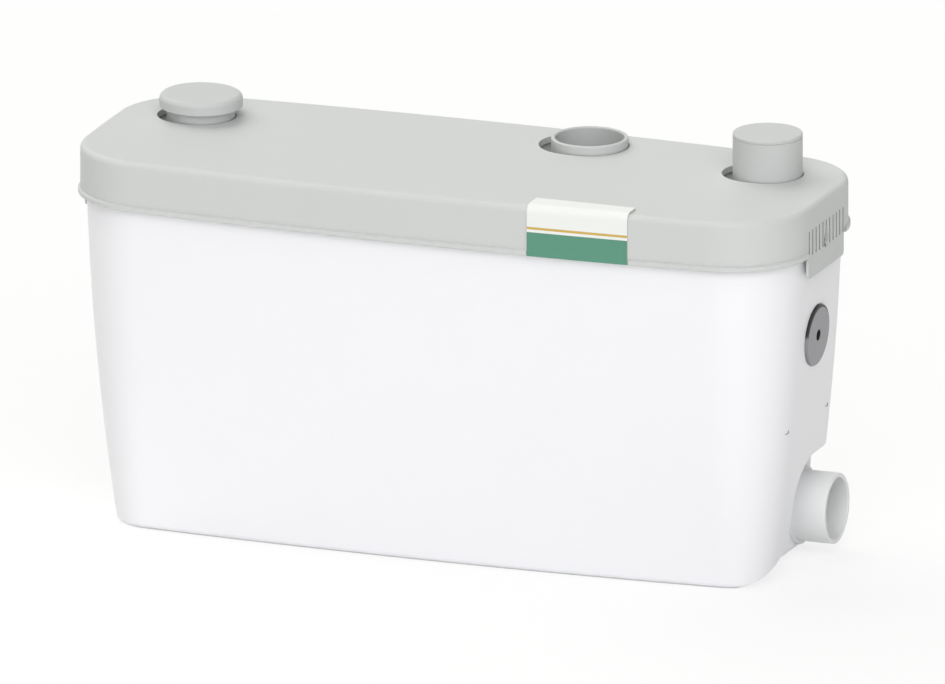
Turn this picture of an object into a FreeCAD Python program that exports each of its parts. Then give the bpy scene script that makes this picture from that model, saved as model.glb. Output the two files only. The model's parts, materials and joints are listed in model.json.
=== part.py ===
import FreeCAD
import Part
import math
import os

V = FreeCAD.Vector
X_AXIS = V(1, 0, 0)
Y_AXIS = V(0, 1, 0)
Z_AXIS = V(0, 0, 1)

# Small greywater lifting station, in millimetres.
# Origin: centre of the tank's base on the floor. +Z up, +X towards the side inlet, -Y is the front.

# Plan outline shared by hood, lid and tank: gently bowed sides and ends, round corners
half_length = 254.5
half_depth = 93.1
side_bow_r = 3017.0
end_bow_r = 2804.0
corner_r = 54.6

# Heights
hood_top_z = 257.5
hood_side_h = 33.5
hood_bottom_z = hood_top_z - hood_side_h

# How far cutters run past the skin that they open, and how near an edge counts as found
past_skin = 20.0
near = 0.01

# Hood moulding
hood_wall = 2.5
hood_edge_r = 4.0
hood_inner_edge_r = 2.0
bead_proud = 1.4
bead_h = 2.9
bead_flare_h = 0.9
bead_round = 0.5
tab_half_w = 33.0
tab_drop = 15.0
tab_wall = 1.6
tab_corner_r = 3.0
bead_end_gap = 1.5
grip_count = 11
grip_pitch = 6.3
grip_w = 1.7
grip_depth = 0.8
grip_h = 17.4
grip_lift = 0.2
window_low_r = 4.3
window_high_r = 1.7
window_h = 14.3
window_low_z = hood_bottom_z - 1.4
rib_w = 2.0
hood_rib_x = (-150.0, -90.0, -30.0, 20.0, 120.0, 160.0)
hood_rib_y = -42.0

# Tank moulding: wall set in under the hood, drawn in further towards the base
tank_wall = 3.5
tank_floor = 4.0
tank_inset = 4.35
tank_taper = 0.031
tank_belly = 0.000262
tank_base_r = 4.5
tank_sections = 5
rim_lip_w = 5.0
rim_lip_h = 10.0
screw_inset = 12.5
screw_side_x = (-140.0, 0.0, 140.0)
screw_end_y = (-30.0, 30.0)
screw_boss_r = 5.0
screw_boss_h = 20.0
nose_w = 9.0
nose_h = 7.0
nose_land = 2.0
nose_gap = 0.3
nose_lift = 0.6

# Inner lid stack
lid_drop = 4.5
lid_t = 3.0
gasket_t = 2.0
lid_edge_r = 1.0
lid_z = hood_top_z - lid_drop
lid_under_z = lid_z - lid_t
rim_z = lid_under_z - gasket_t
seat_gap = 0.3
fit_gap = 0.1
running_gap = 0.05

# Service well moulded into the lid
well_x0 = -132.0
well_x1 = 22.0
well_from_front = 36.1
well_from_back = 46.1
well_y0 = well_from_front - half_depth
well_y1 = half_depth - well_from_back
well_corner_r = 12.0
well_depth = 24.0
well_wall = 3.0
well_floor_z = lid_z - well_depth
well_under_z = well_floor_z - well_wall

# Lid screws
screw_r = 2.0
screw_head_r = 4.0
screw_len = 14.0
screw_slot_w = 1.0
screw_slot_part = 0.6
gasket_hole_gap = 0.4

# Vent: neck in the lid, filter cartridge, mushroom cap
vent_from_end = 56.0
vent_from_back = 57.1
vent_x = vent_from_end - half_length
vent_y = half_depth - vent_from_back
vent_r = 22.7
vent_bore_r = 19.5
vent_neck_h = 10.0
vent_slot_ext = 6.0
cap_r = 27.5
cap_low_h = 7.2
cap_top_h = 15.7
cap_edge_r = 3.6
cap_wall = 2.3
cap_plug_len = 11.0
cap_plug_t = 2.0
cap_foot_t = 2.0
cap_slot_count = 4
cap_slot_w = 8.0
filter_r = 17.5
filter_h = 36.0
filter_rim = 2.0
filter_hole_r = 2.0
filter_hole_pitch = 6.0
filter_hole_rings = 2
filter_first_ring = 6
filter_top_gap = 1.0
vent_ledge_t = 3.0
vent_ledge_w = 5.0

# Discharge collar in the middle
collar_x = 66.0
collar_from_back = 34.1
collar_y = half_depth - collar_from_back
collar_r = 25.5
collar_bore_r = 22.7
collar_h = 6.2
collar_slot_ext = 8.0
collar_depth = 32.0
collar_floor_t = 4.0
collar_way_r = 16.0
collar_rim_r = 1.2
collar_seat_r = 22.1
collar_seal_h = 6.0
collar_seal_t = 1.6
seal_lip_t = 1.4
seal_lip_reach = 1.9
rim_relief = 0.5

# Top inlet with its blanking plug
inlet_from_end = 55.0
inlet_from_back = 56.6
inlet_x = half_length - inlet_from_end
inlet_y = half_depth - inlet_from_back
inlet_r = 23.1
inlet_bore_r = 20.0
inlet_slot_ext = 7.0
plug_top_h = 28.6
plug_disc_t = 2.6
plug_edge_r = 1.0
plug_skirt_t = 2.4
plug_len = 15.0
plug_seal_h = 2.4
plug_seal_t = 1.5
plug_seal_place = 3.0
seam_chamfer = 0.5
inlet_tail = 22.0

# Step under every lid socket, and the gap of the hood's cut-outs
socket_step = 0.6
hole_gap = 0.7
skirt_t = 1.6

# Side inlet in the rear right corner, in its arched recess
side_from_back = 47.6
side_rim_from_end = 9.5
side_y = half_depth - side_from_back
side_z = 30.7
side_r = 23.6
side_bore_r = 20.6
side_rim_x = half_length - side_rim_from_end
side_rim_round = 0.8
side_mouth_chamfer = 0.3
recess_depth = 35.0
recess_x = half_length - recess_depth
recess_front = 59.9
recess_top = 45.3
recess_round = 30.0
recess_foot_z = 20.8
recess_foot_slope = 25.0
recess_foot_round = 7.0
recess_base_r = 9.0
side_flange_r = 25.8
side_flange_t = 2.0
side_boss_len = 34.0
side_boss_wall = 3.0
side_tail = 24.0
side_seal_place = 12.0
side_seal_w = 3.0
side_seal_t = 1.5

# Cable grommet in the right end wall
grommet_z = 162.0
grommet_r = 20.7
grommet_proud = 1.7
grommet_neck_r = 13.0
grommet_lip_r = 15.5
grommet_lip_t = 2.5
grommet_hole_r = 3.4
grommet_seat_r = 21.2
grommet_seat_depth = 0.5
grommet_edge_r = 0.8
grommet_slack = 1.0

# Label plate on the hood
label_x0 = 79.0
label_x1 = 148.6
label_t = 1.5
label_film = 0.02
label_wrap = 16.0
label_gap = 0.4

# Pump unit, standing on rubber feet
pump_x = -40.0
pump_y = -5.0
foot_r = 7.0
foot_h = 4.0
foot_count = 3
foot_ring_r = 30.0
strainer_r = 40.0
strainer_t = 2.5
strainer_h = 13.0
strainer_slots = 14
strainer_slot_w = 5.0
casing_t = 3.0
volute_start_r = 31.0
volute_first_r = 32.0
volute_step = 3.0
chamber_h = 20.0
suction_r = 13.0
nozzle_bore_r = 10.0
nozzle_end_x = 64.0
casing_flange_t = 4.0
casing_flange_extra = 3.0
ear_r = 5.0
ear_place = 35.6
casing_screw_r = 2.0
casing_screw_head_r = 3.6
casing_screw_head_h = 2.6

impeller_r = 28.0
impeller_gap = 2.0
impeller_disc_t = 3.0
vane_h = 12.0
vane_t = 2.2
vane_count = 6
vane_turn = 48.0
vane_mid_part = 0.42
vane_root = 1.5
vane_tip = 0.5
hub_r = 8.0
hub_lift = 3.0
nut_r = 6.5
nut_t = 4.0
nut_sides = 6
shaft_tail = 2.0

motor_r = 46.0
motor_wall = 3.0
motor_base_t = 6.0
motor_h = 152.0
motor_cover_t = 5.0
cover_spigot_h = 8.0
bearing_r = 11.0
bearing_bore_r = 4.0
bearing_w = 7.0
bearing_shoulder_r = 6.5
bearing_boss_r = 14.5
bearing_lift = 2.0
bearing_race_t = 1.8
bearing_groove = 0.5
motor_cover_r = 2.0
motor_seal_w = 2.0
motor_seal_t = 1.5
motor_seal_drop = 3.0
shaft_seal_r = 8.0
shaft_seal_h = 6.0
shaft_seal_lift = 0.5
rotor_r = 24.0
rotor_h = 60.0
rotor_lift = 30.0
rotor_sleeve_r = 6.0
rotor_sleeve_over = 6.0
end_ring_h = 4.0
end_ring_out = 3.0
end_ring_w = 6.0
air_gap = 0.5
stator_extra = 2.0
stator_slots = 12
stator_slot_w = 5.0
stator_slot_depth = 11.0
winding_h = 12.0
winding_inset = 2.5
slot_liner = 0.4
buffer_r = 11.0

# Riser from the pump to the non-return valve under the discharge collar
riser_bend_r = 26.0
riser_socket = 10.0
riser_end_gap = 2.0
riser_stop_gap = 1.0
riser_knee_drop = 15.6
sleeve_t = 3.0
sleeve_len = 26.0
sleeve_shift = 4.0
band_t = 1.0
band_w = 8.0
band_inset = 3.0
lug_w = 8.0
lug_h = 3.7
lug_len = 6.0
lug_sink = 0.4

# Non-return valve
valve_r = 21.0
valve_chamber_r = 17.5
valve_seat_t = 4.0
valve_chamber_h = 24.0
flap_r = 14.0
flap_t = 2.4
flap_pin_r = 1.5
flap_pin_len = 26.0
flap_eye_r = 2.9
flap_eye_w = 10.0
ear_w = 4.0
flap_ear_gap = 0.4
flap_wall_gap = 1.0
flap_ear_back = 5.0
flap_ear_front = 2.4
flap_seat_gap = 0.4
flap_arm_lift = 0.5
flap_arm_t = 3.4
flap_pin_end = 0.2
flap_hole_gap = 0.02

# Level sensing: open air bell and the switch above it
bell_x = -112.0
bell_from_well = 27.0
bell_y = well_y0 + bell_from_well
bell_r = 10.0
bell_wall = 2.0
bell_mouth_z = 34.0
bell_flange_r = 14.0
bell_flange_t = 4.0
barb_r = 3.0
barb_h = 4.5
switch_r = 15.0
switch_h = 14.0
switch_cap_r = 10.0
switch_cap_h = 4.0
blade_w = 4.8
blade_t = 0.8
blade_h = 4.0

# Electrical parts in the service well
box_x0 = -70.0
box_x1 = -6.0
box_from_well = 4.0
box_depth = 42.0
box_y0 = well_y0 + box_from_well
box_y1 = box_y0 + box_depth
box_h = 19.0
box_wall = 2.0
box_cover_t = 2.0
box_corner_r = 3.0
block_len = 40.0
block_w = 14.0
block_h = 11.0
block_ways = 5
block_hole_r = 2.0
block_hole_depth = 3.0
capacitor_r = 10.0
capacitor_len = 62.0
capacitor_edge_r = 1.5
capacitor_x = -28.0
capacitor_from_well = 19.5
capacitor_y = well_y1 - capacitor_from_well
clip_t = 1.5
clip_w = 12.0
clip_foot = 8.0
gland_from_well = 27.0
gland_y = well_y0 + gland_from_well
gland_z = 240.0
gland_r = 5.0
gland_nut_r = 7.5
gland_nut_t = 5.0
gland_dome_len = 9.0
gland_hole_r = 3.2
gland_thread_out = 3.0
gland_dome_step = 0.8


def arc(p, q, r):
    """Arc edge through three points."""
    return Part.Arc(p, q, r).toShape()


def corner_data():
    """Centre of the plan's corner round, with the two angles where it meets side and end bows."""
    side_c = V(0, half_depth - side_bow_r, 0)
    end_c = V(half_length - end_bow_r, 0, 0)
    r_side = side_bow_r - corner_r
    r_end = end_bow_r - corner_r
    link = end_c - side_c
    d = link.Length
    along = (r_side ** 2 - r_end ** 2 + d ** 2) / (2 * d)
    across = math.sqrt(r_side ** 2 - along ** 2)
    unit = V(link).normalize()
    normal = V(-unit.y, unit.x, 0)
    options = [side_c + unit * along + normal * s * across for s in (1, -1)]
    centre = max(options, key=lambda c: c.x + c.y)
    side_angle = math.atan2(centre.y - side_c.y, centre.x - side_c.x)
    end_angle = math.atan2(centre.y - end_c.y, centre.x - end_c.x)
    return side_c, end_c, centre, side_angle, end_angle


def polar(centre, r, angle, z=0.0):
    return V(centre.x + r * math.cos(angle), centre.y + r * math.sin(angle), z)


def plan_wire(inset, z):
    """Closed plan outline of eight tangent arcs, set in by inset, at height z."""
    side_c, end_c, centre, side_a, end_a = corner_data()
    end_p = polar(end_c, end_bow_r - inset, end_a, z)
    side_p = polar(side_c, side_bow_r - inset, side_a, z)
    round_p = polar(centre, corner_r - inset, (side_a + end_a) / 2, z)
    tip = half_length - inset
    crown = half_depth - inset

    def at(p, sx, sy):
        return V(p.x * sx, p.y * sy, z)

    edges = [
        arc(at(end_p, 1, -1), V(tip, 0, z), at(end_p, 1, 1)),
        arc(at(end_p, 1, 1), at(round_p, 1, 1), at(side_p, 1, 1)),
        arc(at(side_p, 1, 1), V(0, crown, z), at(side_p, -1, 1)),
        arc(at(side_p, -1, 1), at(round_p, -1, 1), at(end_p, -1, 1)),
        arc(at(end_p, -1, 1), V(-tip, 0, z), at(end_p, -1, -1)),
        arc(at(end_p, -1, -1), at(round_p, -1, -1), at(side_p, -1, -1)),
        arc(at(side_p, -1, -1), V(0, -crown, z), at(side_p, 1, -1)),
        arc(at(side_p, 1, -1), at(round_p, 1, -1), at(end_p, 1, -1)),
    ]
    return Part.Wire(edges)


def prism(inset, z0, z1):
    """Upright block on the plan outline."""
    return Part.Face(plan_wire(inset, z0)).extrude(V(0, 0, z1 - z0))


def band(outer_inset, inner_inset, z0, z1):
    """Upright wall between two insets of the plan outline."""
    return prism(outer_inset, z0, z1).cut(prism(inner_inset, z0, z1))


def side_point(x, inset, sign):
    """Point on the bowed long side at x."""
    r = side_bow_r - inset
    y = half_depth - side_bow_r + math.sqrt(r * r - x * x)
    return V(x, sign * y, 0)


def end_point(y, inset, sign):
    """Point on the bowed end at y."""
    r = end_bow_r - inset
    x = half_length - end_bow_r + math.sqrt(r * r - y * y)
    return V(sign * x, y, 0)


def box(x0, x1, y0, y1, z0, z1):
    return Part.makeBox(x1 - x0, y1 - y0, z1 - z0, V(x0, y0, z0))


def rounded_box(x0, x1, y0, y1, z0, z1, r):
    """Block with round upright corners."""
    solid = box(x0, x1, y0, y1, z0, z1)
    upright = [e for e in solid.Edges if abs(e.Vertexes[0].Z - e.Vertexes[1].Z) > (z1 - z0) / 2]
    return solid.makeFillet(r, upright)


def disc(x, y, r, z0, z1):
    """Upright cylinder."""
    return Part.makeCylinder(r, z1 - z0, V(x, y, z0), Z_AXIS)


def ring(x, y, r_out, r_in, z0, z1):
    """Upright tube."""
    return disc(x, y, r_out, z0, z1).cut(disc(x, y, r_in, z0 - 1, z1 + 1))


def rod(x0, x1, y, z, r):
    """Cylinder along X."""
    return Part.makeCylinder(r, x1 - x0, V(x0, y, z), X_AXIS)


def tube_x(x0, x1, y, z, r_out, r_in):
    """Tube along X."""
    return rod(x0, x1, y, z, r_out).cut(rod(x0 - 1, x1 + 1, y, z, r_in))


def slot(x, y, r, extend, z0, z1):
    """Obround block: a circle at x, y drawn out towards -X."""
    body = disc(x, y, r, z0, z1).fuse(disc(x - extend, y, r, z0, z1))
    return body.fuse(box(x - extend, x, y - r, y + r, z0, z1)).removeSplitter()


def edges_at(shape, z, tol=near):
    """Edges that lie flat at height z."""
    return [e for e in shape.Edges if abs(e.BoundBox.ZMin - z) < tol and abs(e.BoundBox.ZMax - z) < tol]


def circles_at(shape, x, y, r, z):
    """Circular edges of radius r about the upright axis at x, y, at height z."""
    found = []
    for e in edges_at(shape, z):
        curve = e.Curve
        if isinstance(curve, Part.Circle) and abs(curve.Radius - r) < near:
            if abs(curve.Center.x - x) < near and abs(curve.Center.y - y) < near:
                found.append(e)
    return found


def join(solids):
    """Fuse a list of solids into one."""
    body = solids[0]
    return body.multiFuse(solids[1:]).removeSplitter() if len(solids) > 1 else body


def bend(before, corner, after, r):
    """Tangent arc between two straight runs that meet at corner: entry point, arc edge, exit point."""
    u = (before - corner).normalize()
    v = (after - corner).normalize()
    half = math.acos(max(-1.0, min(1.0, u.dot(v)))) / 2
    cut = r / math.tan(half)
    entry = corner + u * cut
    leave = corner + v * cut
    centre = corner + (u + v).normalize() * (r / math.sin(half))
    middle = centre + (corner - centre).normalize() * r
    return entry, arc(entry, middle, leave), leave


def tank_offset(z):
    """How far the tank's outer wall is set in from the hood's outline at height z."""
    below = max(hood_bottom_z - z, 0.0)
    return tank_inset + tank_taper * below + tank_belly * below ** 2


def tank_block(extra, z0):
    """Curved block of the tank from z0 up to the rim, set in by a further extra."""
    step = (hood_bottom_z - z0) / (tank_sections - 1)
    levels = [z0 + i * step for i in range(tank_sections)]
    wires = [plan_wire(tank_offset(z) + extra, z) for z in levels]
    lower = Part.makeLoft(wires, True, False)
    upper = prism(tank_inset + extra, hood_bottom_z, rim_z)
    return lower, upper


def screw_places():
    """Lid screw positions, three along each side and two at each end."""
    places = [side_point(x, screw_inset, s) for s in (-1, 1) for x in screw_side_x]
    return places + [end_point(y, screw_inset, s) for s in (-1, 1) for y in screw_end_y]


def collar_relief(z0, z1):
    """Space that the discharge collar takes out of rim, gasket and lip."""
    return disc(collar_x, collar_y, collar_r + rim_relief, z0, z1)


def rim_pad(z0, z1, hole_r):
    """Sealing land along the rim with the screw eyes: the same shape for tank lip and gasket."""
    pad = band(tank_inset, tank_inset + tank_wall + rim_lip_w, z0, z1)
    eyes = [disc(p.x, p.y, screw_boss_r, z0, z1) for p in screw_places()]
    pad = join([pad] + eyes).cut(collar_relief(z0 - 1, z1 + 1))
    for p in screw_places():
        pad = pad.cut(disc(p.x, p.y, hole_r, z0 - 1, z1 + 1))
    return pad


def end_wall_lean():
    """Lean of the end wall at the grommet, in degrees."""
    below = hood_bottom_z - grommet_z
    return math.degrees(math.atan(tank_taper + 2 * tank_belly * below))


def at_grommet(shape):
    """Put a shape drawn along +X at the origin onto the right end wall."""
    out = shape.copy()
    out.rotate(V(0, 0, 0), Y_AXIS, end_wall_lean())
    out.translate(V(half_length - tank_offset(grommet_z), 0, grommet_z))
    return out


def recess_face(x, grow):
    """Arched outline of the corner recess at x, with a flared foot at its front side."""
    slope = math.radians(recess_foot_slope)
    front = side_y - recess_front - grow
    top = side_z + recess_top + grow
    back = 2 * half_depth
    foot_z = recess_foot_z + grow * (1 - math.sin(slope)) / math.cos(slope)
    low = -tank_floor
    start = V(x, front - (foot_z - low) / math.tan(slope), low)
    foot = V(x, front, foot_z)
    corner = V(x, front, top)
    far = V(x, back, top)
    under = V(x, back, low)
    p0, foot_arc, p1 = bend(start, foot, corner, recess_foot_round - grow)
    q0, top_arc, q1 = bend(foot, corner, far, recess_round + grow)
    edges = [Part.makeLine(start, p0), foot_arc, Part.makeLine(p1, q0), top_arc]
    edges += [Part.makeLine(q1, far), Part.makeLine(far, under), Part.makeLine(under, start)]
    return Part.Face(Part.Wire(edges))


def recess_block(grow):
    """Cut that makes the recess in the rear right corner."""
    reach = recess_depth + grow + past_skin
    return recess_face(recess_x - grow, grow).extrude(V(reach, 0, 0))


def recess_relief():
    """Round undercut where the recess wall runs into the tank's base."""
    x0 = recess_x - recess_base_r
    low = recess_face(x0, 0.0).extrude(V(recess_base_r, 0, 0))
    low = low.common(box(x0, recess_x, -half_depth, half_depth, -tank_floor, recess_base_r))
    start = V(x0, -half_depth, recess_base_r)
    return low.cut(Part.makeCylinder(recess_base_r, 2 * half_depth, start, Y_AXIS))


def tank():
    lower, upper = tank_block(0.0, 0.0)
    lower = lower.makeFillet(tank_base_r, edges_at(lower, 0.0))
    outer = lower.fuse(upper)
    outer = outer.cut(recess_block(0.0)).cut(recess_relief())
    inner_low, inner_up = tank_block(tank_wall, tank_floor)
    inner = inner_low.fuse(inner_up)
    inner = inner.cut(recess_block(tank_wall))
    boss_x = recess_x - side_boss_len
    boss_bore = side_r + fit_gap
    outer = outer.fuse(rod(boss_x, recess_x, side_y, side_z, boss_bore + side_boss_wall))
    body = outer.cut(inner)
    body = body.cut(rod(boss_x + side_boss_wall, recess_x + 1, side_y, side_z, boss_bore))
    lip = band(tank_inset + tank_wall / 2, tank_inset + tank_wall + rim_lip_w, rim_z - rim_lip_h, rim_z)
    bosses = [disc(p.x, p.y, screw_boss_r, rim_z - screw_boss_h, rim_z) for p in screw_places()]
    body = join([body, lip] + bosses).cut(collar_relief(rim_z - collar_depth, rim_z + 1))
    for p in screw_places():
        body = body.cut(disc(p.x, p.y, screw_r + fit_gap, rim_z - screw_len, rim_z + 1))
    seat = Part.makeCylinder(grommet_seat_r, past_skin, V(-grommet_seat_depth, 0, 0), X_AXIS)
    hole = Part.makeCylinder(grommet_neck_r + fit_gap, 2 * past_skin, V(-past_skin, 0, 0), X_AXIS)
    body = body.cut(at_grommet(seat)).cut(at_grommet(hole))
    for sign in (-1, 1):
        body = body.fuse(snap_nose(sign))
    return body.removeSplitter()


def snap_nose(sign):
    """Ramp on the end wall behind the hood's window."""
    tip = half_length - hood_wall - nose_gap
    root = half_length - tank_inset - tank_wall / 2
    z0 = window_low_z + nose_lift
    points = [V(root, 0, z0), V(tip, 0, z0), V(tip, 0, z0 + nose_land), V(root, 0, z0 + nose_h)]
    face = Part.Face(Part.makePolygon(points + [points[0]]))
    nose = face.extrude(V(0, nose_w, 0))
    nose.translate(V(0, -nose_w / 2, 0))
    return nose if sign > 0 else nose.mirror(V(0, 0, 0), X_AXIS)


def teardrop(low_z, x0, x1):
    """Window through an end wall: a round below, drawn up to a small round."""
    low = V(0, 0, low_z + window_low_r)
    high = V(0, 0, low_z + window_h - window_high_r)
    lean = math.asin((window_low_r - window_high_r) / (high.z - low.z))

    def touch(centre, r, side):
        return V(0, side * r * math.cos(lean), centre.z + r * math.sin(lean))

    edges = [
        arc(touch(low, window_low_r, -1), V(0, 0, low_z), touch(low, window_low_r, 1)),
        Part.makeLine(touch(low, window_low_r, 1), touch(high, window_high_r, 1)),
        arc(touch(high, window_high_r, 1), V(0, 0, low_z + window_h), touch(high, window_high_r, -1)),
        Part.makeLine(touch(high, window_high_r, -1), touch(low, window_low_r, -1)),
    ]
    body = Part.Face(Part.Wire(edges)).extrude(V(x1 - x0, 0, 0))
    body.translate(V(x0, 0, 0))
    return body


def hood_skin(grow, z0):
    """Outer block of the hood with its rounded top edge, grown by grow."""
    block = prism(-grow, z0, hood_top_z + grow)
    return block.makeFillet(hood_edge_r + grow, edges_at(block, hood_top_z + grow))


def grip_tab(sign):
    """Finger tab that hangs from the hood's end wall."""
    low = hood_bottom_z - tab_drop
    high = hood_bottom_z + bead_h
    wall = band(0.0, tab_wall, low, high)
    span = box(0, half_length + past_skin, -tab_half_w, tab_half_w, low, high)
    lower = [e for e in edges_at(span, low) if abs(e.BoundBox.YLength) < near]
    span = span.makeFillet(tab_corner_r, lower)
    tab = wall.common(span)
    return tab if sign > 0 else tab.mirror(V(0, 0, 0), X_AXIS)


def bead():
    """Lip that flares out of the hood's lower edge, open at both grip tabs and behind the label plate."""
    lip_z = hood_bottom_z + bead_h
    lip = prism(-bead_proud, hood_bottom_z, lip_z)
    lip = lip.makeFillet(bead_round, edges_at(lip, hood_bottom_z))
    flare = Part.makeLoft([plan_wire(-bead_proud, lip_z), plan_wire(0.0, lip_z + bead_flare_h)], True, True)
    z0 = hood_bottom_z - 1
    z1 = lip_z + bead_flare_h + 1
    lip = lip.fuse(flare).cut(prism(hood_wall / 2, z0, z1))
    reach = half_length + past_skin
    gap = tab_half_w + bead_end_gap
    lip = lip.cut(box(-reach, reach, -gap, gap, z0, z1))
    front = -half_depth - past_skin
    return lip.cut(box(label_x0 - label_gap, label_x1 + label_gap, front, 0, z0, z1))


def grips():
    """Upright finger grooves on both end walls."""
    z0 = hood_bottom_z + grip_lift
    shell = band(-1.0, grip_depth, z0, z0 + grip_h)
    first = -grip_pitch * (grip_count - 1) / 2
    reach = half_length + past_skin
    cuts = []
    for i in range(grip_count):
        y = first + i * grip_pitch
        cuts.append(box(-reach, reach, y - grip_w / 2, y + grip_w / 2, z0, z0 + grip_h))
    return shell.common(Part.makeCompound(cuts))


def port_slots(grow, z0, z1):
    """Obround blocks of the three port cut-outs, grown by grow."""
    return [
        slot(vent_x, vent_y, vent_r + grow, vent_slot_ext, z0, z1),
        slot(collar_x, collar_y, collar_r + grow, collar_slot_ext, z0, z1),
        slot(inlet_x, inlet_y, inlet_r + grow, inlet_slot_ext, z0, z1),
    ]


def hood():
    roof = hood_top_z - hood_wall
    hollow = prism(hood_wall, hood_bottom_z - 1, roof)
    hollow = hollow.makeFillet(hood_inner_edge_r, edges_at(hollow, roof))
    body = hood_skin(0.0, hood_bottom_z).cut(hollow)
    rib_low = lid_z + seat_gap
    inside = prism(hood_wall / 2, rib_low, roof + hood_wall / 2)
    ribs = [box(x - rib_w / 2, x + rib_w / 2, -half_depth, half_depth, rib_low, roof + 1) for x in hood_rib_x]
    rib_y = hood_rib_y - rib_w / 2
    ribs.append(box(-half_length, half_length, rib_y, rib_y + rib_w, rib_low, roof + 1))
    skirts = port_slots(hole_gap + skirt_t, rib_low, roof + 1)
    ribs = join(ribs + skirts).common(inside)
    body = join([body, bead(), grip_tab(-1), grip_tab(1), ribs])
    for hole in port_slots(hole_gap, lid_z - 1, hood_top_z + past_skin):
        body = body.cut(hole)
    body = body.cut(grips())
    reach = half_length + past_skin
    body = body.cut(teardrop(window_low_z, half_length - past_skin, reach))
    body = body.cut(teardrop(window_low_z, -reach, -half_length + past_skin))
    return body


def label_plate():
    """Thin plate over the hood's front edge: upright face, round edge and a strip of the top."""
    body = hood_skin(label_t, hood_bottom_z).cut(hood_skin(label_film, hood_bottom_z - 1))
    front = -half_depth - past_skin
    wrap_y = side_point((label_x0 + label_x1) / 2, 0.0, -1).y + label_wrap
    return body.common(box(label_x0, label_x1, front, wrap_y, hood_bottom_z, hood_top_z + past_skin))


def inner_lid():
    plate = prism(tank_inset, lid_under_z, lid_z)
    plate = plate.makeFillet(lid_edge_r, edges_at(plate, lid_z))
    tub = rounded_box(well_x0 - well_wall, well_x1 + well_wall, well_y0 - well_wall, well_y1 + well_wall,
                      well_under_z, lid_z, well_corner_r + well_wall)
    body = plate.fuse(tub)
    body = body.cut(rounded_box(well_x0, well_x1, well_y0, well_y1, well_floor_z, lid_z + 1, well_corner_r))
    for x, y, r in ((vent_x, vent_y, vent_r), (collar_x, collar_y, collar_r), (inlet_x, inlet_y, inlet_r)):
        body = body.cut(disc(x, y, r - socket_step + fit_gap, lid_under_z - 1, lid_z + 1))
    for p in screw_places():
        body = body.cut(disc(p.x, p.y, screw_r + fit_gap, lid_under_z - 1, lid_z + 1))
        sink = screw_head_r - screw_r
        foot = V(p.x, p.y, lid_z - sink)
        cone = Part.makeCone(screw_r + fit_gap, screw_head_r + fit_gap, sink, foot, Z_AXIS)
        body = body.cut(cone)
    body = body.cut(disc(bell_x, bell_y, barb_r + fit_gap, well_under_z - 1, well_floor_z + 1))
    body = body.cut(rod(well_x1 - 1, well_x1 + well_wall + 1, gland_y, gland_z, gland_r + fit_gap))
    return body.removeSplitter()


def lid_screws():
    """Countersunk screws, flush with the lid."""
    sink = screw_head_r - screw_r
    solids = []
    for p in screw_places():
        head = Part.makeCone(screw_r, screw_head_r, sink, V(p.x, p.y, lid_z - sink), Z_AXIS)
        shank = disc(p.x, p.y, screw_r, lid_z - screw_len, lid_z - sink)
        screw = head.fuse(shank).removeSplitter()
        half = screw_slot_w / 2
        for turn in (0, 90):
            reach = screw_head_r * screw_slot_part
            groove = box(-reach, reach, -half, half, lid_z - screw_slot_w, lid_z + 1)
            groove.rotate(V(0, 0, 0), Z_AXIS, turn)
            groove.translate(V(p.x, p.y, 0))
            screw = screw.cut(groove)
        solids.append(screw)
    return Part.makeCompound(solids)


def socket_tube(x, y, r, bore_r, z0, z1):
    """Lid socket: full size above the lid, a step smaller below it, so it seats on the lid."""
    body = disc(x, y, r, lid_z, z1).fuse(disc(x, y, r - socket_step, z0, lid_z))
    return body.cut(disc(x, y, bore_r, z0 - 1, z1 + 1)).removeSplitter()


def vent_neck():
    low = filter_low_z() - vent_ledge_t
    body = socket_tube(vent_x, vent_y, vent_r, vent_bore_r, low, hood_top_z + vent_neck_h)
    ledge = ring(vent_x, vent_y, vent_bore_r + 1, vent_bore_r - vent_ledge_w, low, low + vent_ledge_t)
    return body.fuse(ledge).removeSplitter()


def filter_low_z():
    return hood_top_z + vent_neck_h - filter_h - cap_plug_len - filter_top_gap


def carbon_filter():
    """Round cartridge with rims and pierced ends."""
    z0 = filter_low_z()
    z1 = z0 + filter_h
    body = disc(vent_x, vent_y, filter_r, z0, z1)
    waist = ring(vent_x, vent_y, filter_r + 1, filter_r - 1, z0 + filter_rim, z1 - filter_rim)
    body = body.cut(waist)
    middle = V(vent_x, vent_y, 0)
    holes = [middle]
    for n in range(1, filter_hole_rings + 1):
        count = filter_first_ring * n
        holes += [polar(middle, n * filter_hole_pitch, 2 * math.pi * i / count) for i in range(count)]
    for p in holes:
        body = body.cut(disc(p.x, p.y, filter_hole_r, z1 - filter_rim, z1 + 1))
    return body


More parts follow.
